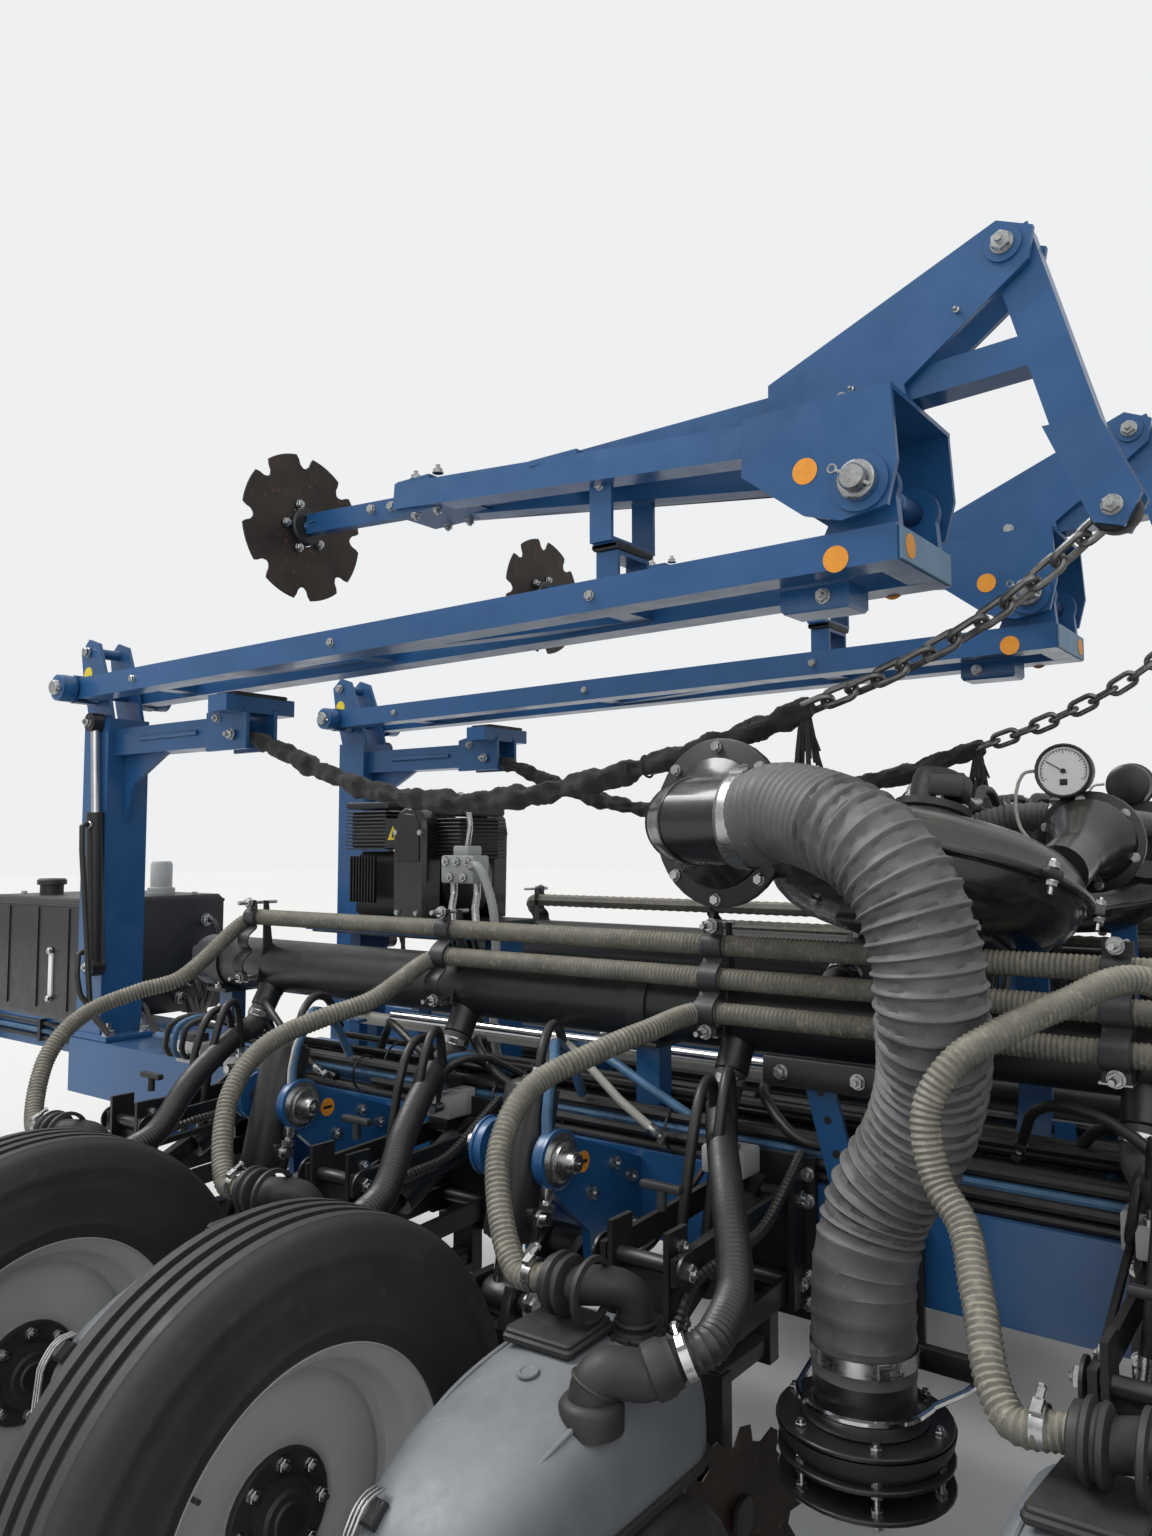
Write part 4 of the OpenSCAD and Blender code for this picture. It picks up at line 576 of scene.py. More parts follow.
# ---------------------------------------------------------------- row units
def unit_cover():
    """Moulded meter cover with skirt, rubber pad, strap and the two elbows; x across, y outboard, z up."""
    p = Part("cover")
    outline = [(550, 118), (562, 138), (600, 148), (700, 150), (850, 150), (930, 140), (1000, 122),
               (1050, 100), (1080, 78), (1095, 52), (1100, 30)]
    tops = [(550, -60), (562, -30), (600, -14), (700, -15), (770, -20), (850, -38), (940, -60), (1010, -92),
            (1050, -118), (1080, -146), (1100, -178)]
    rows = []
    for o in (550, 553, 560, 575, 600, 640, 690, 740, 790, 840, 880, 920, 955, 985, 1010, 1035, 1055, 1072,
              1084, 1093, 1100):
        hw = np.interp(o, *zip(*outline)) - (6 if o in (550, 1100) else 0)
        top = np.interp(o, *zip(*tops))
        ring = []
        for t in np.linspace(0, pi, 29):
            c, s = cos(t), sin(t)
            flare = 1 + 0.02 * (1 - s)
            ring.append((hw * flare * copysign(abs(c) ** 0.52, c), o, -186 + (top + 186) * abs(s) ** 0.62))
        rows.append(ring + [(-hw * 0.9, o, -189), (hw * 0.9, o, -189)])
    p.grid(rows, GREY, cap=(True, True))
    # dark skirt with its rolled lip
    whole = [(hw, o) for o, hw in outline] + [(-hw, o) for o, hw in reversed(outline)]
    for z0, z1, out in ((-205, -188, 7), (-192, -186, 11)):
        lip = [(x * (1 + out / 150), 550 - out * 0.4 + (o - 550) * (1 + out / 700)) for x, o in whole]
        p.zplate(lip, z0, z1, RUBBER, 2)
    # raised crease either side of the crown and a moulded dimple
    for s in (-1, 1):
        line = smooth([(s * 98, 640, -24), (s * 104, 760, -33), (s * 104, 880, -58), (s * 88, 990, -98)], 12)
        p.tube(line, [1.5] + [4.5] * (len(line) - 2) + [1.5], GREY, 8)
    p.lathe([(17, -0.5), (16, 2.2), (12, 2.2), (10, 0.4)], (12, 812, -26), (0, 0.16, 1), GREY, 20)
    # rubber pad on the inboard edge
    pad = [(-36, 664), (-30, 762), (-24, 768), (94, 772), (100, 764), (84, 656), (76, 650), (-30, 657)]
    sloped = (X, (0, 1, -0.10), Z)
    p.prism(pad, sloped, (0, 0, 58), 14, RUBBER, 4)
    p.prism([(x * 0.94 + 2, 36 + o * 0.95) for x, o in pad], sloped, (0, 0, 70), 9, RUBBER, 3)
    # strap over the outboard end
    p.block((70, 1062, -126), (40, 34, 16), MATT, 3, basis((0, 0.75, 1)))
    strap = [(70, 1040, -106), (70, 1066, -108), (70, 1086, -124), (70, 1100, -150), (70, 1106, -190),
             (70, 1108, -226)]
    for dx in (-7, 0, 7):
        p.tube(smooth(np.add(strap, (dx, 3, 3)), 10), 2.4, STEEL, 8)
    p.block((70, 1104, -232), (28, 8, 18), STEEL, 2)
    # seed elbow with collar, and the ribbed coupling
    p.lathe([(48, 0), (48, 8), (42, 14), (42, 22), (38, 24), (36, 30)], (-56, 634, -34), Z, RUBBER, 32)
    for q in around((-56, 634, -19), X, Y, 43, 10):
        p.block(q, (6, 6, 22), RUBBER, 1.5)
    elbow = [(-56, 634, -20), (-56, 634, 14), (-54, 636, 32), (-44, 646, 50), (-26, 664, 59), (-2, 684, 60),
             (26, 698, 60), (50, 700, 60)]
    p.tube(smooth(elbow, 7), 29.5, RUBBER, 24)
    p.ring((-56, 634, 4), Z, 30, 4, RUBBER, 28, 8)
    p.lathe([(44, 24), (52, 27), (52, 34), (44, 37)], (-52, 700, 60), X, RUBBER, 36, loop=True)
    p.lathe([(36, 24), (44, 28), (46, 34), (40, 38), (40, 42), (47, 46), (47, 52), (40, 56), (39, 66),
             (30, 70)],
            (-10, 700, 60), X, RUBBER, 36)
    # vacuum elbow on the cover's shoulder
    p.lathe([(46, -30), (46, 2), (42, 8), (36, 12)], (-106, 817, -36), Z, RUBBER, 32)
    line = smooth([(-106, 817, -44), (-107, 816, -22), (-112, 811, -4), (-124, 801, 6), (-142, 786, 5),
                   (-162, 769, 1), (-190, 745, 16)], 6)
    p.tube(line, 34, RUBBER, 24)
    p.ring(line[6], line[7] - line[5], 34, 3.5, RUBBER, 28, 8)
    p.lathe([(36, -34), (40, -30), (40, -8), (36, -2), (34.5, 8)], (-190, 745, 16), unit((-35, -30, 19)),
            RUBBER, 32)
    return p


def gauge_wheel(p, centre, r, w):
    """Rubber-tyred depth wheel with a dished, pierced centre."""
    h = w / 2
    half = [(r * 0.74, h - 6), (r * 0.80, h), (r * 0.93, h - 3), (r - 3, h - 14), (r, h - 26)]
    p.lathe(half + [(a, -b) for a, b in reversed(half)], centre, X, RUBBER, 48, loop=True)
    p.lathe([(26, 10), (30, h * 0.55), (44, h * 0.55), (52, 8), (r * 0.64, 4), (r * 0.70, h * 0.7),
             (r * 0.75, h * 0.7), (r * 0.75, -h * 0.7), (r * 0.70, -h * 0.7), (r * 0.62, -6), (52, -4),
             (44, -h * 0.5)], centre, X, MATT, 40)
    for t in turns(5):
        c, s = cos(t), sin(t)
        p.block(np.add(centre, (6, r * 0.47 * c, r * 0.47 * s)), (9, r * 0.34, 15), BLACK, 2,
                (X, (0, c, s), (0, -s, c)))


def unit_wheels():
    p = Part("wheels")
    for s in (-1, 1):
        gauge_wheel(p, (s * 118.5, 710, -415), 202.5, 105)
        # closing wheel
        r, c = 150, (s * 75, 1140, -435)
        half = [(r * 0.72, 9), (r * 0.8, 13), (r * 0.95, 11), (r, 4)]
        p.lathe(half + [(a, -b) for a, b in reversed(half)], c, X, RUBBER, 40, loop=True)
        p.lathe([(30, s * 13), (36, s * 3), (r * 0.68, s * 1), (r * 0.76, s * 8), (r * 0.76, -s * 8),
                 (r * 0.68, -s * 5), (36, -s * 5), (30, -s * 13)], c, (s, 0, 0), MATT, 32)
    return p


def unit_fittings():
    """Bolts, pivot heads, valve block, springs and short hoses of a row unit."""
    p = Part("fittings")
    for s in (-1, 1):
        f = (s, 0, 0)
        for o, z in ((505, 80), (505, 30), (505, -40), (520, -150), (610, -196), (700, -205), (880, -212),
                     (1000, -216), (630, -300), (700, -340)):
            p.bolt((s * 60, o, z), f, 20, thread=5 if o % 3 else 0)
        for o, z in ((125, 70), (125, -90), (525, 50), (525, -110)):
            p.lathe([(30, 0), (30, 5), (18, 5)], (s * 80, o, z), f, BLACK, 24)
            p.bolt((s * 85, o, z), f, 27, washer=False, thread=6)
        for z in (110, 60, -80, -130):
            p.bolt((s * 97, 105, z), Y, 22, thread=8)
        p.bolt((s * 171, 710, -415), f, 34)
        p.bolt((s * 88, 1140, -435), f, 24)
    # down-force spring cans
    for z in (30, -20):
        p.tube([(-30, 500, z + 10), (-30, 150, z + 34)], 9, MATT, 10)
    # valve block on the link, with its two looped hoses
    c = np.array((34.0, 170.0, 132.0))
    p.block(c, (92, 62, 52), SILVER, 4)
    p.block(c - (0, 0, 40), (60, 40, 40), BLACK, 4)
    p.tube([c + (-30, 40, 4), c + (-30, 66, 4)], 11, STEEL, 10)
    p.bolt(c + (-30, 66, 4), Y, 22, washer=False)
    for dx, reach, high in ((22, 96, 128), (-18, 74, 150)):
        a = c + (dx, 20, 26)
        p.bolt(a, Z, 26, washer=False)
        p.tube([a, a + (0, 2, 34)], 9.5, STEEL, 10)
        loop = smooth(a + [(0, 2, 26), (0, 4, 70), (-10, 30, high), (-26, reach, high - 8),
                           (-30, reach + 40, 40), (-22, reach + 46, -60), (-10, reach + 60, -170)], 12)
        p.tube(loop, 10.5, HOSE, 10)
        p.tube(loop[-4:], 12.5, STEEL, 10)
    # harness in split tube down the far side
    run = smooth([(-88, 112, 150), (-96, 180, 120), (-100, 300, 60), (-96, 420, 46), (-78, 500, 20),
                  (-72, 560, -70), (-72, 620, -170)], 5)
    p.tube(run, [11 if k % 2 else 9 for k in range(len(run))], HOSE, 8)
    run = smooth([(96, 112, 130), (104, 210, 70), (102, 330, 10), (94, 450, -10), (80, 540, -90)], 12)
    p.tube(run, 7, HOSE, 8)
    # row cleaner disc pair ahead of the opener, on its bracket
    for s in (-1, 1):
        edge = []
        for t in turns(12):
            tooth = ((150, 0.0), (150, 0.16), (122, 0.24), (122, 0.40))
            edge += [(r * cos(t + q), r * sin(t + q)) for r, q in tooth]
        p.prism(edge, basis((1, s * 0.35, 0)), (s * 52 - 2, 300, -440), 4, WORN, 1)
        p.lathe([(34, 0), (34, 8), (16, 14)], (s * 55, 300, -440), (s, 0, 0), MATT, 20)
    p.block((0, 300, -330), (54, 34, 250), BLACK, 3)
    p.block((0, 210, -215), (44, 210, 34), BLACK, 3)
    p.block((0, 122, -190), (60, 34, 120), BLACK, 3)
    # hand wheel for depth
    p.tube([(0, 470, 118), (0, 470, 150)], 9, MATT, 10)
    p.block((0, 470, 156), (80, 16, 14), MATT, 3)
    return p


def row_units():
    """The drawn unit at every row of a wing, and at the two rows of the centre."""
    unit_parts = (unit_cover(), unit_wheels(), unit_fittings())
    on_wing = [Part(name) for name in ("meter_cover_shells", "gauge_and_closing_wheels", "row_unit_fittings")]
    in_centre = [Part(name) for name in ("center_cover_shells", "center_rollers", "center_unit_fittings")]
    looks = (("grey_cover", "meter_covers"), ("rubber", "row_wheels"), ("black_paint", None))
    for x in ROWS:
        for whole, one in zip(on_wing, unit_parts):
            whole.merge(one, (x, FOLD, BAR))
    quarter_turn = [[0, -1, 0], [1, 0, 0], [0, 0, 1]]
    for s in (-1, 1):
        for whole, one in zip(in_centre, unit_parts):
            whole.merge(one, (-150, s * 381, BAR), quarter_turn)
    for whole, (slot, node) in zip(on_wing, looks):
        whole.both("wing", slot, [node] if node else [])
    for whole, (slot, node) in zip(in_centre, looks):
        whole.make("center_frame", 1, slot, ["center_" + node] if node else [], suffix=False)


# ---------------------------------------------------------------- air system
SEED_AT = [(8, 112), (-52, 104), (-108, 58), (150, 78), (104, 11), (88, 78), (70, 144)]
STRAPPED = [(FOLD + 74, PIPE + 144), (FOLD + 90, PIPE + 78), (FOLD + 106, PIPE + 11)]
HOSE_X, HOSE_Y = 3486, 870  # the exhaust hose's lower end and the diffuser
OUTLET = np.array((3848.0, 686.0, 1696.0))
DIAL = np.array((3275.0, 332.0, 1798.0))


def seed_route(i):
    """The same route as in part.scad."""
    x, y, z = ROWS[i], FOLD + SEED_AT[i][0], PIPE + SEED_AT[i][1]
    over = [(59, 210, 1445), (147, 330, 1412), (209, 430, 1377), (256, 490, 1338), (287, 512, 1270),
            (270, 525, 1185), (225, 550, 1132), (190, 610, 1070)]
    down = [(170, 280, 1285), (215, 380, 1255), (262, 480, 1215), (262, 560, 1165), (230, 630, 1090)]
    route = [(300, y, z)]
    if i < 3:
        route += [(x - 190, y, z), (x - 90, FOLD + 10, PIPE + 200), (x - 20, FOLD + 90, PIPE + 205)]
    else:
        route += [(x + (-60 if i == 3 else 110), y, z)]
    route += [(x + a, FOLD + b, c) for a, b, c in (down if i > 3 else over)]
    return route + [(x + 130, FOLD + 700, 975), (x + 60, FOLD + 700, 975)]


def ribbed(part, route, radius, depth, pitch, mat, n):
    """Corrugated hose: a crest and a valley each pitch."""
    line = smooth(route, pitch / 2)
    part.tube(line, [radius if k % 2 else radius - depth for k in range(len(line))], mat, n)


def seed_hoses():
    """Finely ribbed on the wing towards the camera, coarser on the other."""
    for side, t, pitch, n in ((1, "_l", 9.4, 10), (-1, "_r", 34, 8)):
        p = Part("seed_hose_run")
        for i in range(7):
            ribbed(p, seed_route(i), 23, 2.4, pitch, TAN, n)
            band(p, (ROWS[i] + 92, FOLD + 700, 975), X, 24.5, 16, (0, 0.5, 1))
        p.make("wing" + t, side, "hose_tan", ["seed_hoses" + t])


def exhaust_hose(p):
    """Cuff, close ribs, wire-wound body and smooth lower end, with cloth that sinks between the wires."""
    route = [(3710, 870, 1696), (3676, 873, 1697), (3593, 905, 1708), (3439, 960, 1660), (3368, 975, 1590),
             (3333, 975, 1493), (3328, 960, 1382), (3351, 900, 1279), (3394, 860, 1171), (3461, 850, 1060),
             (3484, 862, 961), (HOSE_X, HOSE_Y, 880), (HOSE_X, HOSE_Y, 790)]
    fine = smooth(route, 2.0)
    total = 2.0 * (len(fine) - 1)
    ribs_end, body_end = 230, total - 210
    # each stretch: where it ends, its repeat and the radii along one repeat
    stretches = ((ribs_end, 13.5, ((0, 87.5), (3.5, 85.0), (10, 85.0))),
                 (body_end, 26.5, ((0, 88.0), (2.4, 86.6), (4.6, 84.0), (9, 83.0), (17, 83.0), (21.5, 84.0),
                                   (24, 86.6))),
                 (total, 36, ((0, 86.6), (5, 84.8), (14, 84.2), (30, 84.2))))
    spots = [(s, 86.5 + 0.5 * sin(s * 0.5)) for s in range(0, 78, 8)]
    s = 80.0
    for end, repeat, radii in stretches:
        while s < end:
            spots += [(s + a, r) for a, r in radii]
            s += repeat
    spots = [(s, r) for s, r in spots if s < total] + [(total, 85.0)]
    want = np.array([s for s, _ in spots]) / 2.0
    line = np.column_stack([np.interp(want, np.arange(len(fine)), fine[:, k]) for k in range(3)])
    n = 40
    spoke = spokes(*carried(line), n)
    noise = np.array([[rnd.random() for _ in range(n)] for _ in spots])
    rows = []
    for k, (s, r) in enumerate(spots):
        if r > 86.0 or s < ribs_end or s > body_end:
            rr = r + 0.5 * noise[k]
        else:
            rr = r - (np.where(noise[k] > 0.72, 3.2, 0.0) + 1.6 * noise[k])
        rows.append(line[k] + rr[:, None] * spoke[k])
    p.grid(rows, RIBBED, cap=(True, True))
    band(p, (3692, 870, 1696), X, 88, 30, (0.1, 0.35, 1))
    band(p, (HOSE_X, HOSE_Y, 822), Z, 86.5, 24, (-0.75, 0.8, 0))


def air_hoses():
    p = Part("air_hose_run")
    step, cuff_end = 4.8, 118  # then the cuff narrows for 14 mm
    for x in ROWS:
        line = smooth([(x + 90, 635, 1187.4), (x + 90, 660, 1144), (x + 50, 750, 1128), (x - 30, 882, 1095),
                       (x - 118, 1019, 1053), (x - 200, 1150, 983), (x - 228, 1250, 960),
                       (x - 225, 1285, 950), (x - 190, 1315, 931)], step)
        r = []
        for k in range(len(line)):
            past = k * step - cuff_end
            r.append(31.5 if past < 0 else 31.5 - past / 12 if past < 14 else 29.5 if k % 2 else 26.8)
        cut = int((cuff_end + 16) / step)
        p.tube(line[:cut + 1], r[:cut + 1], CUFF, 16)
        p.tube(line[cut:], r[cut:], HOSE, 12)
        band(p, line[4], line[6] - line[2], 32.5, 18, (-1, 0.6, 0))
        band(p, line[-6], line[-2] - line[-8], 31, 14, (-0.4, 0.4, 1))
    # inlet hose from the manifold to the fan's inboard flange
    route = [(3236, 292, 1700), (3236, 270, 1700), (3262, 220, 1704), (3330, 190, 1710), (3440, 190, 1706),
             (3560, 198, 1650), (3640, 240, 1550), (3690, 320, 1460), (3700, 422.8, 1385),
             (3700, 457.4, 1365)]
    ribbed(p, route, 31, 3.4, 12, RIBBED, 20)
    band(p, (3318, 194, 1709), (1, -0.1, 0), 33, 24, (0, 0.3, 1))
    band(p, (3700, 440, 1375), (0, 0.866, -0.5), 33.5, 16, (-1, 0, 0.4))
    exhaust_hose(p)
    p.both("wing", "hose_black", ["air_hoses"])


def strap_clamp(part, x, seats, top, bottom, width):
    """Black wave strap over the hoses in a row, on a foot plate, with a nut and bare thread at each end."""
    face = [(top[0] + 26, top[1] + 26)]
    for k, (y, z) in enumerate(seats):
        face += [(y + 27 * cos(t), z + 27 * sin(t)) for t in np.radians([62, 30, 0, -30, -62])]
        if k + 1 < len(seats):
            ny, nz = seats[k + 1]
            face.append(((y + ny) / 2 + 8, (z + nz) / 2))
    face.append((bottom[0] + 26, bottom[1] - 26))
    fine = smooth([(0, y, z) for y, z in face], 4)[:, 1:]
    d = np.gradient(fine, axis=0)
    d /= np.linalg.norm(d, axis=1)[:, None]
    out = np.column_stack([-d[:, 1], d[:, 0]])
    out *= np.where(out[:, :1] < 0, -1, 1)
    part.xplate(np.vstack([fine + out * 5, fine[::-1]]), x - width / 2, x + width / 2, MATT, 1.2)
    for y, z in ((top[0] + 30, top[1] + 18), (bottom[0] + 30, bottom[1] - 18)):
        part.bolt((x, y + 2, z), Y, 24, thread=26)
        part.lathe([(15, 0), (15, 2.5)], (x, y + 1, z), Y, STEEL, 20)
        part.tube([(x, y - 92, z), (x, y + 2, z)], 5, STEEL, 8)


def manifold():
    p = Part("manifold_pipe")
    p.lathe([(60, 0), (71, 5), (75, 14), (75, 5238), (70, 5248), (58, 5250)], (480, FOLD, PIPE), X, BLACK, 48)
    for i, x in enumerate(ROWS):
        p.lathe([(37, 60), (37, 78), (35, 82), (35, 128), (33, 130)], (x + 90, FOLD, PIPE), (0, 0.5, -0.866),
                BLACK, 32)
        # foot plate and the strap or the rings over the hoses
        if i >= 3:
            strap_clamp(p, x + 115, STRAPPED, (FOLD + 66, PIPE + 168), (FOLD + 92, PIPE - 8), 46)
            foot = [(30, 66), (46, 190), (62, 192), (62, 60), (84, -38), (60, -46)]
            p.xplate(np.add(foot, (FOLD, PIPE)), x + 95, x + 101, MATT, 1.0)
            p.block((x + 118, FOLD + 96, PIPE - 36), (52, 40, 5), STEEL, 1)
        else:
            for dy, dz in SEED_AT[:3]:
                p.ring((x - 230, FOLD + dy, PIPE + dz), X, 27, 4.5, MATT, 24, 8)
            foot = [(20, 72), (46, 150), (-70, 146), (-146, 66), (-128, 24), (-72, 26)]
            p.xplate(np.add(foot, (FOLD, PIPE)), x - 236, x - 228, MATT, 1.0)
            for dy, dz in ((36, 120), (-120, 40)):
                p.bolt((x - 238, FOLD + dy, PIPE + dz), (-1, 0, 0), 22, thread=16)
    # stub of the fan's inlet hose
    p.lathe([(38, 60), (38, 80), (36, 84), (36, 128), (34, 130)], (3700, FOLD, PIPE), (0, -0.866, 0.5), BLACK,
            32)
    for x in (1043, 2567, 4091, 5615):
        p.lathe([(77, -24), (80, -24), (80, 24), (77, 24)], (x, FOLD, PIPE), X, MATT, 40, loop=True)
        p.block((x, FOLD, PIPE - 82), (90, 120, 10), MATT, 2)
        for s in (-1, 1):
            p.bolt((x, FOLD + s * 50, PIPE - 77), Z, 20, thread=12)
    p.both("wing", "black_paint", ["manifold"])


def tilt_axes():
    """The fan leans back a little and tips its outboard side up."""
    a, b = radians(5), radians(17)
    lean = np.array([[cos(a), 0, sin(a)], [0, 1, 0], [-sin(a), 0, cos(a)]])
    tip = np.array([[1, 0, 0], [0, cos(b), sin(b)], [0, -sin(b), cos(b)]])
    return lean @ tip


def fan_housing(p):
    """Upper dome with its pressed ring, seam flange and deep lower bowl, hydraulic motor and base plate."""
    ax = tilt_axes()
    c, w = np.array(FAN), ax[2]
    p.lathe([(70, 92), (82, 88), (120, 86), (150, 80), (196, 78), (204, 74), (214, 74), (224, 78), (240, 76),
             (262, 66), (280, 50), (290, 32), (294, 12), (298, 8), (308, 8), (310, 5), (310, -5), (308, -8),
             (298, -8), (293, -12), (290, -26), (282, -46), (266, -66), (244, -82), (214, -94), (180, -100)],
             c, w, GLOSS, 96)
    for t in turns(8, 0.3):
        d = ax[0] * cos(t) + ax[1] * sin(t)
        e = -ax[0] * sin(t) + ax[1] * cos(t)
        p.block(c + 312 * d, (26, 34, 22), GLOSS, 3, (d, e, w))
        p.bolt(c + 316 * d + 11 * w, w, 19, thread=6)
        p.bolt(c + 316 * d - 11 * w, -w, 19, thread=14)
    for q in around(c - 97 * w, ax[0], ax[1], 205, 4, 0.9):
        p.bolt(q, -w, 19)
    # motor with its port block, elbows and a cable plug
    p.lathe([(76, 86), (76, 96), (70, 100), (66, 132), (74, 136), (74, 150), (48, 156), (48, 206), (42, 222)],
            c, w, MATT, 48)
    for q in around(c + 150 * w, ax[0], ax[1], 60, 6):
        p.bolt(q, w, 16, washer=False)
    p.block(c + (10, -60, 130) @ ax, (120, 80, 66), SILVER, 5, ax)
    p.block(c + (-40, 30, 182) @ ax, (64, 54, 48), BLACK, 5, ax)
    for x, y in ((40, -84), (-20, -90), (60, -30)):
        base = c + (x, y, 160) @ ax
        p.bolt(base, w, 30, washer=False)
        p.tube(smooth(base + [(0, 0, 0), (0, 0, 30), (0, -14, 44), (0, -60, 46)] @ ax, 8), 12, STEEL, 12)
    p.block(c + (-20, -40, -104) @ ax, (300, 200, 12), MATT, 3, ax)


def fan_outlet(p):
    """Outlet duct that turns outboard, its flange and bolts."""
    out = unit((0.174, 0.985, 0))
    side = np.array((out[1], -out[0], 0))
    duct = [(3600, 590, 1612), (3700, 576, 1650), (3776, 586, 1682), (3822, 614, 1694), OUTLET - 40 * out,
            OUTLET]
    p.tube(smooth(duct, 9), 86, GLOSS, 40)
    p.lathe([(169, 0), (172, 2), (172, 14), (169, 16)], OUTLET, out, MATT, 72)
    for q in around(OUTLET, side, Z, 155, 8, 0.02):
        p.bolt(q, -out, 20, thread=10)
        p.bolt(q + 16 * out, out, 20)
    p.lathe([(134, 16), (132, 22), (112, 34), (94, 50), (84, 66)], OUTLET, out, GLOSS, 56)
    return out


def fan_inlet(p):
    """Inlet cone and flange on the inboard shoulder."""
    neck, wide = np.array((3243.0, 430.0, 1622.0)), np.array((3236.0, 304.0, 1657.0))
    p.lathe([(88, 0), (86, 8), (70, 40), (54, 84), (50, 118), (52, 210)], wide, unit(neck - wide), GLOSS, 48)
    p.lathe([(98, 0), (101, 2), (101, 14), (98, 16)], (3236, 292, 1657), Y, BLACK, 64)
    for q in around((3236, 308, 1657), X, Z, 86, 6, 0.35):
        p.bolt(q, Y, 16)
    p.xplate([(294, 1735), (306, 1735), (306, 1790), (294, 1790)], 3246, 3290, BLACK, 2)


def gauge(p):
    """Case, bezel, dial with its ticks, arc and hand, and its thin pipe."""
    g = DIAL
    p.lathe([(40, -52), (49, -46), (51, -38), (51, -6), (48, -3)], g, Y, BLACK, 48)
    p.lathe([(51, -8), (54, -5), (55, 2), (52, 6), (49, 4), (47.5, -3)], g, Y, MATT, 48, loop=True)
    p.lathe([(48, -3.5), (48, -0.5)], g, Y, WHITE, 40)

    def mark(e, out, size, lift=0.0, bevel=0.2):
        p.block(g + (0, lift, 0) + e * out, size, BLACK, bevel, (np.cross(e, Y), e, Y))

    def spoke(k):
        t = radians(205 - 230 * k / 28)
        return np.array((-cos(t), 0, sin(t)))

    for k in range(29):
        inner = 35 if k % 7 == 0 else 39
        mark(spoke(k), (inner + 43) / 2, (1.0, 43 - inner, 1.2))
    for k in range(28):
        mark(spoke(k + 0.5), 43.2, (5.4, 0.9, 1.2), bevel=0.1)
    mark(unit((0.72, 0, 0.45)), 15, (1.6, 44, 1.2), 1.2)
    p.block(g + (0, 0.4, -22), (14, 1.2, 12), BLACK, 0.2)
    p.lathe([(5, 0), (5, 3.5)], g, Y, BLACK, 16)
    pipe = [(56, -26, 4), (84, -26, -2), (100, -26, -50), (92, -24, -110), (60, -20, -150)]
    p.tube(smooth(g + pipe, 8), 3.6, PALE, 10)


def mitred_elbow(p, out):
    """A quarter turn in straight cuts, with a weld bead at each."""
    turn = np.array((OUTLET + 54 * out, (3865.5, 784, 1696), (3793, 870, 1696), (3704, 870, 1696)), float)
    cuts = len(turn) - 1
    legs = [unit(turn[k + 1] - turn[k]) for k in range(cuts)]
    u, v, _ = basis(legs[0])
    spoke = 82.5 * spokes(u, v, 48)
    rows = [turn[0] + spoke]
    for k in range(1, cuts):
        plane = unit(legs[k - 1] + legs[k])
        ring = spoke - np.outer(spoke @ plane / np.dot(legs[k - 1], plane), legs[k - 1])
        rows.append(turn[k] + ring)
        spoke = ring - np.outer(ring @ legs[k], legs[k])
    rows.append(turn[cuts] + spoke)
    p.grid(rows, GLOSS, cap=(True, True))
    for ring in rows[1:cuts]:
        c = ring.mean(axis=0)
        across = unit(np.cross(ring[0] - c, ring[12] - c))
        away = np.array([unit(q - c) for q in ring])
        p.grid([ring + away * (1.8 * cos(t)) + across * (3.4 * sin(t)) for t in turns(6)], GLOSS, wrap_u=True)


def fan():
    p = Part("vacuum_fan")
    fan_housing(p)
    out = fan_outlet(p)
    fan_inlet(p)
    gauge(p)
    mitred_elbow(p, out)
    # slanted strip with its holes
    p.block((3640, 681.5, 1215), (234, 27, 54), BLACK, 2)
    for x in (3562, 3718):
        p.bolt((x, 695, 1215), Y, 24, thread=8)
    for z in (950, 1010, 1070, 1130, 1180):
        p.lathe([(8, 0), (8, 0.6)], (3575 + 90 * (z - 908) / 332, 669, z), Y, BLACK, 20)
    p.both("wing", "gloss_black", ["fan"])


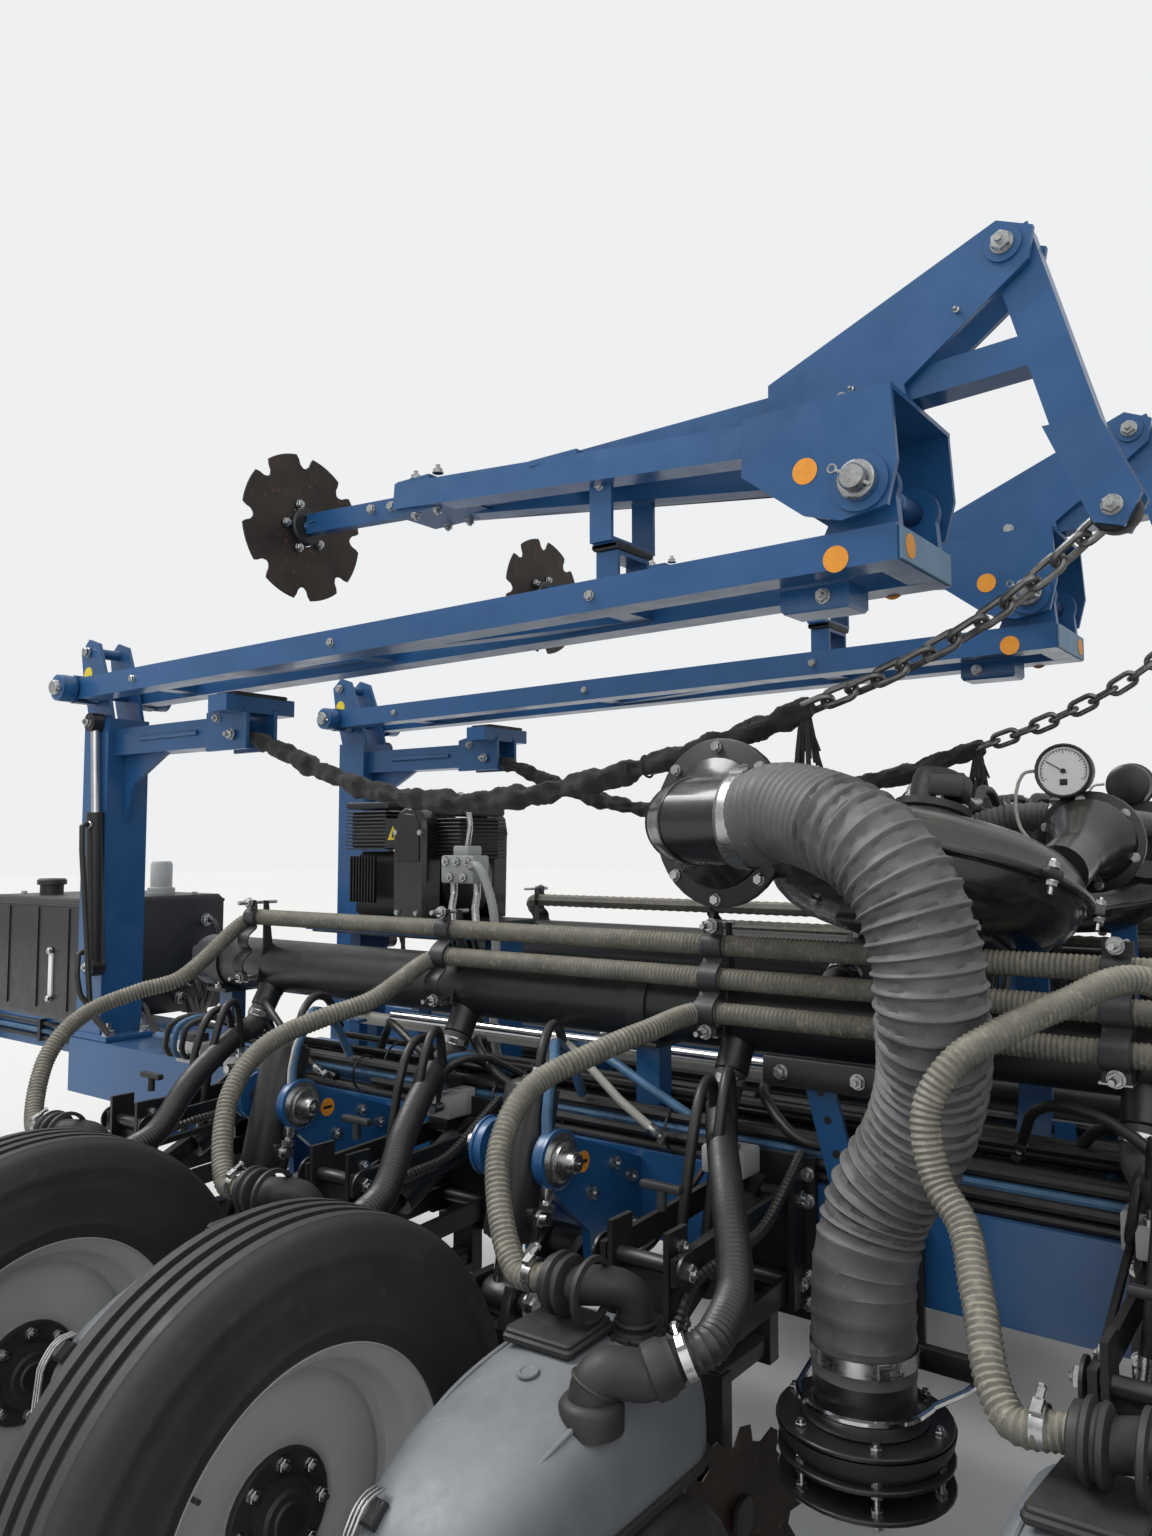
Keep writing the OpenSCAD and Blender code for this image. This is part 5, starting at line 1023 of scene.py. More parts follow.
def diffuser():
    p = Part("exhaust_diffuser")
    c = (HOSE_X, HOSE_Y, 0)
    p.lathe([(78, 708), (84, 708), (84, 792), (82, 792), (78, 788)], c, Z, BLACK, 56, loop=True)
    p.lathe([(84, 719), (100, 717), (104, 724), (88, 736), (84, 740)], c, Z, BLACK, 56, loop=True)
    edge = [(141, -4), (143, -2), (143, 2), (141, 4)]
    for z, hole in ((715, 78), (667, 60)):
        p.lathe([(r, z + h) for r, h in [(hole, -4)] + edge + [(hole, 4)]], c, Z, BLACK, 64, loop=True)
    p.lathe([(r, 623 + h) for r, h in edge], c, Z, BLACK, 64)
    # sagging rubber ring under the top plate
    p.lathe([(118, 700), (138, 706), (145, 711), (140, 690), (128, 672), (120, 672)], c, Z, RUBBER, 56,
            loop=True)
    coils = 34
    rod = [(6.3 if j % 2 else 5.3, 606 + j * 128 / coils) for j in range(coils + 1)]
    for x, y, _ in around(c, X, Y, 125, 6):
        p.lathe(rod, (x, y, 0), Z, STEEL, 10)
        for z in (719, 671, 627):
            p.bolt((x, y, z), Z, 18)
        for z in (711, 663, 619):
            p.bolt((x, y, z), (0, 0, -1), 18)
    # bright bent rod round the spigot, and the bracket from the toolbar
    bend = [(x, y, 752) for x, y in arc((HOSE_X, HOSE_Y), 108, 180, 0, 7)]
    rod = [(3340, 668, 748), (3350, 760, 750), (3378, 850, 752)] + bend
    p.tube(smooth(rod + [(3600, 820, 752), (3620, 740, 750), (3622, 668, 748)], 10), 6, BRIGHT, 12)
    p.xplate([(659, 975), (671, 975), (671, 760), (800, 760), (800, 742), (659, 742)], 3456, 3516, BLACK, 2)
    p.block((HOSE_X, 668, 744), (310, 22, 40), BLACK, 3)
    for z in (950, 850):
        p.bolt((HOSE_X, 671, z), Y, 24, thread=8)
    p.both("wing", "black_paint", ["diffuser"])


# ---------------------------------------------------------------- markers
def chain_links(p):
    """Round links, each turned a quarter against the last."""
    line = smooth([(3128, FOLD, 2232), (3320, FOLD, 2090), (3520, FOLD, 1995), (3720, FOLD, 1930)], 58)
    reach, bend, wire = 19, 17.5, 7.2
    for k in range(len(line) - 1):
        mid, along = (line[k] + line[k + 1]) / 2, unit(line[k + 1] - line[k])
        u = unit(np.cross(along, Y))
        roll = 0.35 + (pi / 2 if k % 2 else 0)
        side = u * cos(roll) + np.cross(along, u) * sin(roll)
        loop = []
        for shift, first in ((reach, -90), (-reach, 90)):
            for t in np.radians(np.linspace(first, first + 180, 9)):
                loop.append(mid + along * (shift + bend * cos(t)) + side * bend * sin(t))
        loop = np.array(loop)
        p.grid(loop[:, None, :] + wire * spokes(*carried(loop, closed=True), 8), CHAIN, wrap_u=True)


def chain_sleeve(p):
    """Twisted cloth sleeve, lumpy where the chain inside pushes it out, with ties, frayed tail and fluff."""
    step, n = 7, 22
    hang = [(3700, 1935), (4000, 1850), (4545, 1765), (5000, 1800), (5550, 1982)]
    line = smooth([(x, FOLD, z) for x, z in hang], step)
    spoke = spokes(*carried(line), n)
    a = np.arange(n) * 2 * pi / n
    rows = []
    for k in range(len(line)):
        s = k * float(step)
        end = min(1.0, (s + 6) / 60, (len(line) * step - s) / 70)
        lump = 3.5 * sin(s * 0.055) + 3.0 * sin(s * 0.023 + 1.2) + 2.0 * sin(s * 0.11 + 0.5)
        r = (25 + lump) * (0.55 + 0.45 * end)
        r = r + 3.4 * np.sin(3 * a + s * 0.028) + 1.8 * np.sin(5 * a - s * 0.05)
        r += [rnd.uniform(-1.4, 1.4) for _ in a]
        rows.append(line[k] + r[:, None] * spoke[k])
    p.grid(rows, CLOTH, cap=(True, True))
    for k in (20, 60, 66):
        p.ring(line[k], line[k + 1] - line[k], 25, 3, CLOTH, 20, 6)
    for _ in range(26):
        a0 = rnd.uniform(0, 2 * pi)
        d = np.array((cos(a0), sin(a0), 0))
        drop = 120 * rnd.uniform(0.6, 1.0)
        q = np.array((3716, FOLD, 1918)) + d * 9
        end = q + d * rnd.uniform(4, 24) - (0, 0, drop)
        p.tube(smooth([q, q + d * 4 - (0, 0, drop * 0.4), end], 12), 3.6, CLOTH, 5)
    for _ in range(60):
        q = line[rnd.randrange(4, len(line) - 4)]
        d = unit((rnd.uniform(-1, 1), rnd.uniform(-1, 1), rnd.uniform(-1, 1)))
        p.tube([q + d * 22, q + d * 34 + (0, 0, -3)], 0.8, CLOTH, 4)


def marker_chain():
    p = Part("marker_chain_and_sleeve")
    chain_links(p)
    chain_sleeve(p)
    p.both("wing", "steel", ["marker_chain"])


def boom_fittings():
    """Knee pin ends, lever bolts, rubber pads, shackle, slide clamp, cushion and spots."""
    p = Part("marker_boom_fittings")
    x, z = KNEE
    peak, lug = (x - 237, FOLD, z + 430), (x - 402, FOLD, z - 86)
    for s in (-1, 1):
        out = (0, s, 0)
        y = FOLD + s * 164
        knee = (x, y, z)
        p.lathe([(56, 0), (56, 8), (38, 8), (38, 12)], knee, out, BLUE, 40)
        p.lathe([(25, 8), (25, 44), (22, 48)], knee, out, STEEL, 32)
        p.lathe([(25, 12), (37, 12), (37, 26), (34, 29), (25, 29)], knee, out, STEEL, 32, loop=True)
        p.tube(np.add(knee, [(-34, s * 38, -20), (34, s * 38, 20)]), 3.6, STEEL, 8)
        p.ring((x + 40, y + s * 38, z + 24), Y, 8, 2.4, STEEL, 16, 6)
        p.disc((x + 112, y, z + 44), out, 26, 1.2, ORANGE, 28)
        p.disc(np.add(peak, (0, s * 52, 0)), out, 34, 6, BLUE, 32)
        p.bolt(np.add(peak, (0, s * 58, 0)), out, 34, thread=12)
        p.bolt(np.add(lug, (0, s * 34, 0)), out, 30, thread=14)
        p.bolt((x + 80, FOLD + s * 52, z + 214), out, 24)
    p.lathe([(44, -22), (44, 22)], peak, Y, RUBBER, 32)
    p.lathe([(14, -22), (40, -22), (42, -18), (42, 18), (40, 22), (14, 22)], lug, Y, RUBBER, 32, loop=True)
    # shackle that carries the chain
    p.ring((x - 396, FOLD, z - 98), (0.3, 1, 0), 19, 7, CHAIN, 24, 8)
    # slide clamp bolts
    for bx in (4710, 4790):
        for s in (-1, 1):
            p.bolt((bx, FOLD + s * 62, 2615), Z, 24, thread=10)
            p.bolt((bx, FOLD + s * 62, 2523), (0, 0, -1), 22, thread=6)
    for s in (-1, 1):
        for bx, bz in ((4930, 2580), (5010, 2586)):
            p.bolt((bx, FOLD + s * 15, bz), (0, s, 0), 22)
    # cushion between the two hoops
    p.block((x + 650, FOLD, PIV[1] + 154), (70, 150, 18), RUBBER, 5)
    for s in (-1, 1):
        p.bolt((x + 650, FOLD + s * 91, PIV[1] + 290), (0, s, 0), 20)
    # grease nipples along the lever
    for dx, dz in ((60, 230), (-150, 330)):
        p.lathe([(6, 0), (6, 6), (3, 8), (5, 12), (3, 16)], (x + dx, FOLD + 52, z + dz), Y, STEEL, 10)
    p.both("marker_boom", "steel")


def arm_fittings():
    p = Part("marker_arm_fittings")
    x, z = KNEE
    for s in (-1, 1):
        p.disc((x + 60, FOLD + s * 145 + s * 0.2, z - 132), (0, s, 0), 26, 1.2, ORANGE, 28)
        for dx in (640, 1500, 2450):
            p.bolt((x + dx, FOLD + s * 145, PIV[1] + (PIV[0] - x - dx) / 2870 * 32), (0, s, 0), 20)
    # the arm's end face in a lighter blue, a painted highlight
    face = [(FOLD - 138, z - 148), (FOLD + 138, z - 148), (FOLD + 138, z - 84), (FOLD - 138, z - 84)]
    p.xplate(face, x - 66, x - 60, LIT_FACE_BLUE, 2)
    p.disc((x - 66, FOLD + 92, z - 116), (-1, 0, 0), 24, 1.2, ORANGE, 28)
    p.block((x + 150, FOLD, z - 176), (150, 96, 54), BLUE, 8)
    for dx, s in ((130, 1), (180, -1)):
        p.bolt((x + dx, FOLD + s * 48, z - 176), (0, s, 0), 26, thread=10)
    p.both("marker_arm", "blue_paint")


def post_fittings():
    """Pivot pin ends, rest bracket, mounting plate and the fold cylinder with its two lines."""
    p = Part("marker_post_fittings")
    px, pz = PIV
    for s in (-1, 1):
        out = (0, s, 0)
        pin = (px, FOLD + s * 190, pz)
        p.lathe([(25, 0), (25, 26), (22, 30)], pin, out, STEEL, 32)
        p.lathe([(26, 0), (44, 0), (44, 12), (40, 14), (26, 14)], pin, out, BLUE, 32, loop=True)
        p.tube(np.add(pin, [(-34, s * 20, -10), (34, s * 20, 10)]), 3.6, STEEL, 8)
        p.bolt((px + 60, FOLD + s * 64, pz + 145), out, 30)
        p.disc((px + 60, FOLD + s * 60, pz + 66), out, 26, 1.2, YELLOW, 28)
        # rest bracket's bolts and bead
        p.bolt((5560, FOLD + s * 65, 1985), out, 28, thread=12)
        p.bolt((5640, FOLD + s * 57, 2040), out, 24, thread=8)
        p.tube([(5760, FOLD + s * 46, 2004), (6080, FOLD + s * 46, 2004)], 9, BLUE, 12)
    p.block((5550, FOLD, 2104), (96, 190, 12), RUBBER, 4)
    # mounting plate and its bolts on the toolbar
    top = BAR + HB
    p.block((POST, FOLD, top + 10), (260, 170, 20), BLUE, 4)
    for dx in (-105, 105):
        for dy in (-62, 62):
            p.bolt((POST + dx, FOLD + dy, top + 20), Z, 34, thread=24)
    y = FOLD + 92
    p.tube([(POST - 60, y, 1260), (POST - 40, y, 1760)], 30, BLACK, 24)
    p.tube([(POST - 40, y, 1760), (POST - 20, y, 2060)], 15, BRIGHT, 20)
    for x, z in ((POST - 60, 1250), (POST - 20, 2066)):
        p.lathe([(32, -22), (32, 22)], (x, y, z), Y, BLACK, 28)
        p.bolt((x, FOLD + 114, z), Y, 28, thread=8)
    for z in (1300, 1720):
        p.bolt((POST - 60, FOLD + 118, z), Y, 22, washer=False)
        p.tube(smooth([(POST - 60, FOLD + 124, z), (POST - 62, FOLD + 150, z - 6),
                       (POST - 90, FOLD + 160, z - 120), (POST - 110, FOLD + 130, 1120),
                       (POST - 170, FOLD + 100, 1040)], 14), 9.5, HOSE, 10)
    p.both("wing", "steel")


def marker_disc():
    """Blade with eight round notches and its hub."""
    p = Part("marker_disc_blade")
    cx, cz = 5320.0, 2592.0
    rim = []
    for k in range(8):
        lobe = [(t, 218) for t in np.linspace(-14.5, 14.5, 7)]
        notch = [(16.2, 207), (17.6, 190), (20.5, 181), (22.5, 179), (24.5, 181), (27.4, 190), (28.8, 207)]
        rim += [(radians(45 * k + 22.5 + a), r) for a, r in lobe + notch]
    rows = [[(cx + lift, FOLD + r * scale * cos(t), cz + r * scale * sin(t)) for t, r in rim]
            for scale, lift in ((0.26, 0), (0.6, 0), (0.93, 0), (0.99, 0), (1, 2.4), (1, 3.6),
                                (0.985, 6), (0.9, 6), (0.6, 6), (0.26, 6))]
    p.grid(rows, WORN, wrap_u=True)
    p.lathe([(18.4, -24), (50, -24), (55, -18), (55, 8), (44, 14), (30, 22), (18.4, 22)], (cx, FOLD, cz), X,
            BLACK, 40, loop=True)
    for _, y, z in around((cx, FOLD, cz), Y, Z, 68, 5):
        for d, x in ((-1, cx - 4), (1, cx + 12)):
            p.bolt((x, y, z), (d, 0, 0), 22, thread=6)
    p.both("marker_disc", "worn_steel", ["marker_disc"])


# ---------------------------------------------------------------- hydraulics between the wings
def line_along(part, xs, y, z, r, mat, sway):
    """A hose laid along x that sways a little between its ties."""
    pts = [(x, y + rnd.uniform(-sway, sway), z + rnd.uniform(-sway, sway)) for x in xs]
    part.tube(smooth(pts, 45), r, mat, 8)


def ties(first, stop, step, end):
    """Evenly spaced places along x, and the hose's end."""
    return list(np.arange(first, stop, step)) + [end]


def fitting(part, at, axis, r=11.0):
    """Crimped hose end with its swivel nut."""
    w = unit(axis)
    part.lathe([(r * 1.05, 0), (r * 1.05, 20), (r * 0.8, 24), (r * 0.8, 30)], at, w, STEEL, 14)
    part.bolt(at + 30 * w, w, r * 2.5, washer=False)


def wing_lines():
    p = Part("hydraulic_lines")
    # looms on the toolbar, inboard and outboard of the pipe's stands
    spots = [(484 + 23 * (k % 3), 1018 + 22 * (k // 3)) for k in range(15)]
    spots += [(616 + 22 * (k % 2), 1018 + 22 * (k // 2)) for k in range(8)]
    for k, (y, z) in enumerate(spots):
        end = 5900 - 330 * (k % 5)
        xs = ties(440 + 30 * (k % 4), end, 330.0, end)
        line_along(p, xs, y, z, (9.5, 8.0, 11.0, 7.0)[k % 4], STRIPE if k in (2, 9, 17, 20) else HOSE, 7)
    for x in np.arange(640, 5600, 480.0):
        p.block((x, 508, 1012), (14, 84, 16), MATT, 2)
        p.ring((x, 506, 1058), X, 56, 3.2, BLACK, 20, 6)
        p.ring((x, 627, 1052), X, 44, 3.2, BLACK, 20, 6)
    # slack lines that cross under the pipe
    for x0, dx, y1, z1, mat in (
            (5050, -420, 640, 1190, HOSE), (4700, -300, 660, 1175, HOSE), (4450, -520, 655, 1200, STRIPE),
            (3900, -260, 668, 1150, HOSE), (3250, -500, 690, 1185, HOSE), (3180, -420, 668, 1150, STRIPE),
            (3050, -560, 700, 1160, HOSE), (2950, -480, 672, 1205, HOSE), (2700, -380, 690, 1140, HOSE),
            (1900, -420, 680, 1170, HOSE), (1500, -380, 690, 1150, HOSE), (5600, -420, 650, 1160, HOSE)):
        pts = [(x0, 500, 1060), (x0 - 60, 520, 1150), (x0 + dx * 0.4, 590 + 0.3 * (y1 - 590), z1 - 6),
               (x0 + dx * 0.75, y1, z1 - 60), (x0 + dx, y1 - 26, 1070), (x0 + dx - 120, 640, 1030)]
        p.tube(smooth(pts, 18), 10.5, mat, 10)
    # lines with crimped ends, the middle one light and braided
    for x0, mat in ((5480, HOSE), (4420, PALE), (3330, HOSE)):
        line = smooth([(x0, 520, 1080), (x0 - 60, 600, 1190), (x0 - 190, 690, 1205), (x0 - 330, 715, 1120),
                       (x0 - 420, 690, 1050)], 14)
        p.tube(line[2:-2], 9.5, mat, 10)
        fitting(p, line[-3], line[-1] - line[-3])
        fitting(p, line[3], line[0] - line[3])
    # valve blocks with elbows on the toolbar
    elbow = [(0, 0, 0), (0, 22, 4), (-8, 36, 40), (-20, 20, 96), (-60, -60, 110), (-110, -150, 60)]
    for x in (5620, 4600, 3060, 2080, 1180):
        p.block((x, 690, 1044), (120, 56, 62), SILVER, 4)
        p.block((x + 10, 690, 1086), (70, 50, 24), MATT, 3)
        for dx, mat in ((-40, HOSE), (0, STRIPE), (40, HOSE)):
            p.bolt((x + dx, 718, 1040), Y, 24, washer=False, thread=6)
            p.tube(smooth(np.add((x + dx, 734.0, 1040.0), elbow), 10), 8.5, mat, 9)
    # fan motor lines run down behind the fan
    for k, (x, y, z) in enumerate(((3512, 351, 1739), (3452, 347, 1733), (3532, 402, 1757))):
        x1 = 3430 + 30 * k
        line = smooth([(x, y, z), (x + 2, y - 50, z + 8), (x + 6, 250, 1770), (x + 10, 150, 1750),
                       (x1 - 15, 122, 1640), (x1 - 5, 170, 1460), (x1, 290, 1250), (x1, 430, 1120),
                       (x1 - 40, 496, 1070)], 14)
        p.tube(line, 10.5, HOSE, 10)
        p.tube(line[:4], 12.5, STEEL, 12)
    p.both("wing", "hose_black")


def cylinder_details():
    p = Part("lift_cylinder_fittings")
    for x in WHEELS:
        a, b = np.array((x, 920.0, 1170.0)), np.array((x, 1010.0, 790.0))
        d, long = unit(b - a), np.linalg.norm(b - a)
        # caps, weld rings and the bright rod
        p.lathe([(30, -14), (44, -6), (48, 0), (48, 26), (46, 30)], a, d, BLACK, 40)
        gland = [(46, 0.66), (50, 0.665), (50, 0.72), (44, 0.735), (27, 0.735), (27, 0.72)]
        p.lathe([(r, long * h) for r, h in gland], a, d, BLACK, 40, loop=True)
        rod = [(24.6, 0.73), (24.6, 0.90), (24, 0.90), (24, 0.73)]
        p.lathe([(r, long * h) for r, h in rod], a, d, BRIGHT, 32, loop=True)
        # lower port with its striped line
        low = a + d * long * 0.60
        port = low + (-64, 10, 0)
        p.block(low + (-50, 8, 0), (30, 34, 36), BLACK, 3)
        p.bolt(port, (-1, 0, 0), 28, washer=False)
        p.disc(port + (-10, 0, 0), (-1, 0, 0.2), 12, 20, STEEL, 16)
        start = port + (-24, 0, 16)
        fitting(p, start + (4, -6, 44), (0, 0.05, -1), 12)
        run = np.vstack([start + [(4, -6, 40), (10, -14, 100), (26, -34, 190)],
                         [(x - 40, 900, 1215), (x + 20, 820, 1240), (x + 60, 720, 1190),
                          (x + 70, 660, 1100)]])
        p.tube(smooth(run, 12), 10.5, STRIPE, 12)
        p.tube(smooth(run + (1.5, 4.5, 1), 12)[2:], 7.2, PALE if x == 4914 else STRIPE, 8)
        # upper port with a black one
        top = a + (0, -30, 20)
        p.block(top + (20, 0, -24), (34, 40, 40), BLACK, 3)
        p.bolt(top + (24, -18, -6), (0, -0.4, 1), 26, washer=False)
        p.tube(smooth(top + [(24, -20, 0), (24, -34, 50), (50, -90, 78), (90, -170, 60), (120, -240, -20)],
                      12),
               10.5, HOSE, 10)
        # trunnion ends on the ears: stacked washers, pin with a lock bolt, spot beside it
        for s in (-1, 1):
            f = (s, 0, 0)
            c = (x + s * 86, 949, 1048)
            p.lathe([(52, 0), (52, 7), (42, 7), (42, 14), (36, 16), (36, 24), (20, 26), (20, 46), (16, 50)],
                    c, f, STEEL, 40)
            p.lathe([(52, 0), (58, 0), (58, 6), (52, 8)], c, f, BLUE, 40, loop=True)
            p.bolt((x + s * 132, 949, 1048), f, 15, washer=False, thread=6)
            p.disc((x + s * 86, 868, 1026), f, 21, 1.2, ORANGE, 28)
            p.block((x + s * 87.4, 868, 1026), (0.8, 26, 7), BLACK, 0.2)
            # lower eye bolt heads and the arm pivot
            p.disc((x + s * 65, 1010, 790), f, 26, 6, STEEL, 28)
            p.bolt((x + s * 71, 1010, 790), f, 30, washer=False)
            p.lathe([(34, 0), (34, 8), (22, 10), (22, 16)], (x + s * 90, 785, 820), f, STEEL, 32)
            p.bolt((x + s * 106, 785, 820), f, 26, washer=False)
            for y, z in ((700, 960), (700, 870), (760, 1000), (840, 960)):
                p.bolt((x + s * 86, y, z), f, 24, thread=6)
    p.both("wing", "steel")


def centre_lines():
    p = Part("drawbar_lines")
    for k in range(12):
        y, z = -88 + 16 * k, 952 + (10 if k % 2 else 0)
        mat = STRIPE if k in (2, 7) else HOSE
        line_along(p, ties(420, 4850, 400.0, 4880), y, z, (8.5, 10.0, 7.0)[k % 3], mat, 5)
    for s in (-1, 1):
        # cream pipe and polished rod held over the drawbar
        p.tube([(900, s * 150, 1090), (5560, s * 150, 1090)], 21, PALE, 20)
        p.tube([(1500, s * 205, 1120), (5300, s * 205, 1120)], 15, BRIGHT, 20)
        p.tube([(1700, s * 205, 1120), (3600, s * 205, 1120)], 33, BLACK, 24)
        for x in (980, 2200, 3400, 4550, 5480):
            p.block((x, s * 118, 1010), (46, 14, 150), BLUE, 2)
            p.block((x, s * 158, 1086), (46, 94, 10), BLUE, 2)
            p.block((x, s * 150, 1118), (40, 66, 8), MATT, 2)
            p.bolt((x, s * 124, 1122), Z, 18, thread=8)
        for k in range(7):
            y, z = s * (126 + 14 * (k % 3)), 968 + 26 * (k // 3)
            mat = STRIPE if k == 4 else HOSE
            line_along(p, ties(500, 5100, 420.0, 5150), y, z, (9.0, 11.0, 8.0)[k % 3], mat, 8)
        for x in np.arange(760, 5000, 620.0):
            p.block((x, s * 140, 955), (20, 92, 8), MATT, 2)
    for x in np.arange(640, 4800, 520.0):
        p.block((x, 0, 976), (16, 196, 6), MATT, 1)
        for y in (-92, 92):
            p.bolt((x, y, 979), Z, 18, thread=8)
    # compressor drive lines down the stand
    for y in (-40, -10, 20, 50):
        p.tube(smooth([(4960, y, 962), (5000, y + 60, 990), (5060, y + 100, 1150), (5100, y + 110, 1330),
                       (5150, y + 100, 1398)], 20), 9.5, HOSE, 9)
    p.make("center_frame", 1, "hose_black", suffix=False)


def compressor():
    p = Part("compressor_unit")
    p.block((5370, 0, 1400), (640, 390, 20), MATT, 3)
    for s in (-1, 1):
        p.block((5370, s * 186, 1380), (660, 22, 36), BLACK, 2)
        for x in (5090, 5230, 5400, 5520, 5640):
            p.bolt((x, s * 197, 1380), (0, s, 0), 20)
    # crankcase and finned cylinders
    p.block((5400, 0, 1520), (330, 250, 220), BLACK, 22)
    p.lathe([(112, 0), (118, 8), (118, 60), (104, 74), (60, 90)], (5235, 0, 1540), (-1, 0, 0), BLACK, 48)
    for k in range(11):
        p.block((5480, 0, 1640 + 12 * k), (190, 330, 5), BLACK, 2)
        p.block((5150, 40, 1612 + 12 * k), (150, 210, 5), BLACK, 2)
    p.block((5480, 0, 1700), (160, 300, 120), BLACK, 6)
    p.block((5150, 40, 1672), (120, 180, 130), BLACK, 6)
    p.block((5480, 0, 1782), (200, 320, 22), MATT, 6)
    p.block((5150, 40, 1756), (156, 200, 24), MATT, 6)
    # belt guards: tall rounded mouldings, with an inset panel, a plain triangle and louvres
    guard = [(5178, 1412), (5300, 1412), (5316, 1440), (5318, 1700), (5300, 1752), (5260, 1774), (5210, 1768),
             (5180, 1740), (5172, 1700)]
    panel = [(5196, 1600), (5296, 1600), (5296, 1720), (5262, 1752), (5214, 1746), (5196, 1716)]
    for s in (-1, 1):
        p.yplate(guard, s * 120, s * 200, GLOSS, 10)
        p.yplate(panel, s * 198, s * 205, MATT, 3)
        for x, z in ((5205, 1440), (5290, 1440), (5298, 1690), (5192, 1690)):
            p.bolt((x, s * 200, z), (0, s, 0), 16)
        p.yplate([(5322, 1668), (5372, 1668), (5347, 1714)], s * 168, s * 169.5, YELLOW, 0.4)
        p.yplate([(5342, 1676), (5352, 1676), (5347, 1700)], s * 169.5, s * 170.2, BLACK, 0.2)
        p.yplate([(5318, 1640), (5386, 1640), (5386, 1735), (5318, 1735)], s * 130, s * 168, BLACK, 3)
        for k in range(9):
            p.block((5430 + 14 * k, s * 168, 1540), (5, 12, 150), BLACK, 1)
    p.tube([(5347, 0, 1774), (5347, 0, 1812)], 16, MATT, 16)
    p.lathe([(40, 0), (44, 6), (44, 30), (36, 38)], (5400, 60, 1792), Z, BLACK, 32)
    # valve block with elbows and the braided line down to the drawbar
    p.block((5050, 150, 1578), (130, 70, 84), SILVER, 5)
    p.block((5040, 150, 1634), (60, 60, 30), SILVER, 4)
    for dx, dz in ((-44, 24), (0, 24), (44, 24), (-30, -24), (26, -24)):
        p.bolt((5050 + dx, 185, 1578 + dz), Y, 26, washer=False, thread=6)
    for x in (5000, 5096):
        p.tube(smooth([(x, 150, 1536), (x, 150, 1500), (x - 10, 170, 1460), (x - 20, 176, 1420)], 8), 12,
               STEEL, 12)
    pipe = [(5040, 150, 1650), (5030, 150, 1720), (5070, 130, 1790), (5130, 90, 1810), (5180, 60, 1780)]
    p.tube(smooth(pipe, 10), 9, STEEL, 12)
    run = smooth([(4990, 186, 1590), (4960, 196, 1590), (4925, 204, 1560), (4890, 206, 1480),
                  (4880, 200, 1380), (4900, 180, 1260), (4930, 150, 1120), (4935, 120, 1010),
                  (4930, 80, 962)], 6)
    p.tube(run, [13 + 0.7 * sin(k * 2.2) for k in range(len(run))], SILVER, 12)
    p.tube(run[:5], 15, STEEL, 12)
    p.make("center_frame", 1, "black_paint", ["power_unit"], suffix=False)


# ---------------------------------------------------------------- tongue, oil tank, rear
JACK_X, JACK_Y = 8330, 190


def tongue_fittings():
    p = Part("tongue_fittings")
    radii = (9, 11, 8)
    for s in (-1, 1):
        for x, z in ((8540, 900), (8700, 900), (8560, 820), (8760, 640), (8720, 560), (8790, 500)):
            p.bolt((x, s * 100, z), (0, s, 0), 34, thread=10)
        for k, z in enumerate((800, 830, 862)):
            line_along(p, ties(6120, 8350, 380.0, 8420), s * 98, z, radii[k], STRIPE if k == 1 else HOSE, 2)
            p.tube(smooth([(8420, s * 98, z), (8520, s * 112, z + 60),
                           (8640, s * (126 + 16 * k), 1010 + 20 * k),
                           (8560 + 30 * k, s * (60 + 18 * k), 1060 + 24 * k),
                           (8480, s * (40 + 14 * k), 1010)], 18),
                   radii[k], HOSE, 9)
        for x in np.arange(6200, 8300, 480.0):
            p.block((x, s * 100, 832), (18, 30, 96), MATT, 2)
    # coupler holder on the front of the tongue
    p.block((8470, 0, 985), (70, 150, 120), MATT, 4)
    ahead = (1, 0, 0.25)
    for k in range(5):
        y = -56 + 28 * k
        p.lathe([(11, 0), (11, 30), (14, 32), (14, 48), (9, 52)], (8505, y, 1000), ahead, STEEL, 16)
        p.disc((8556, y, 1012), ahead, 13, 14, (ORANGE, BLUE, BLACK)[k % 3], 16)
    # jack: cap, crank with grip, rings
    p.lathe([(60, 0), (62, 6), (50, 22)], (JACK_X, JACK_Y, 1160), Z, BLUE, 32)
    p.tube([(8446, 276, 1102), (8446, 350, 1102)], 10, BLACK, 14)
    p.lathe([(16, 0), (18, 6), (18, 70), (14, 76), (10, 76), (10, 0)], (8446, 285, 1102), Y, BLACK, 20,
            loop=True)
    for z, small in ((470, 5), (700, 4)):
        p.ring((JACK_X, JACK_Y, z), Z, 58, small, BLUE, 32, 8)
    p.make("tongue", 1, "steel", suffix=False)


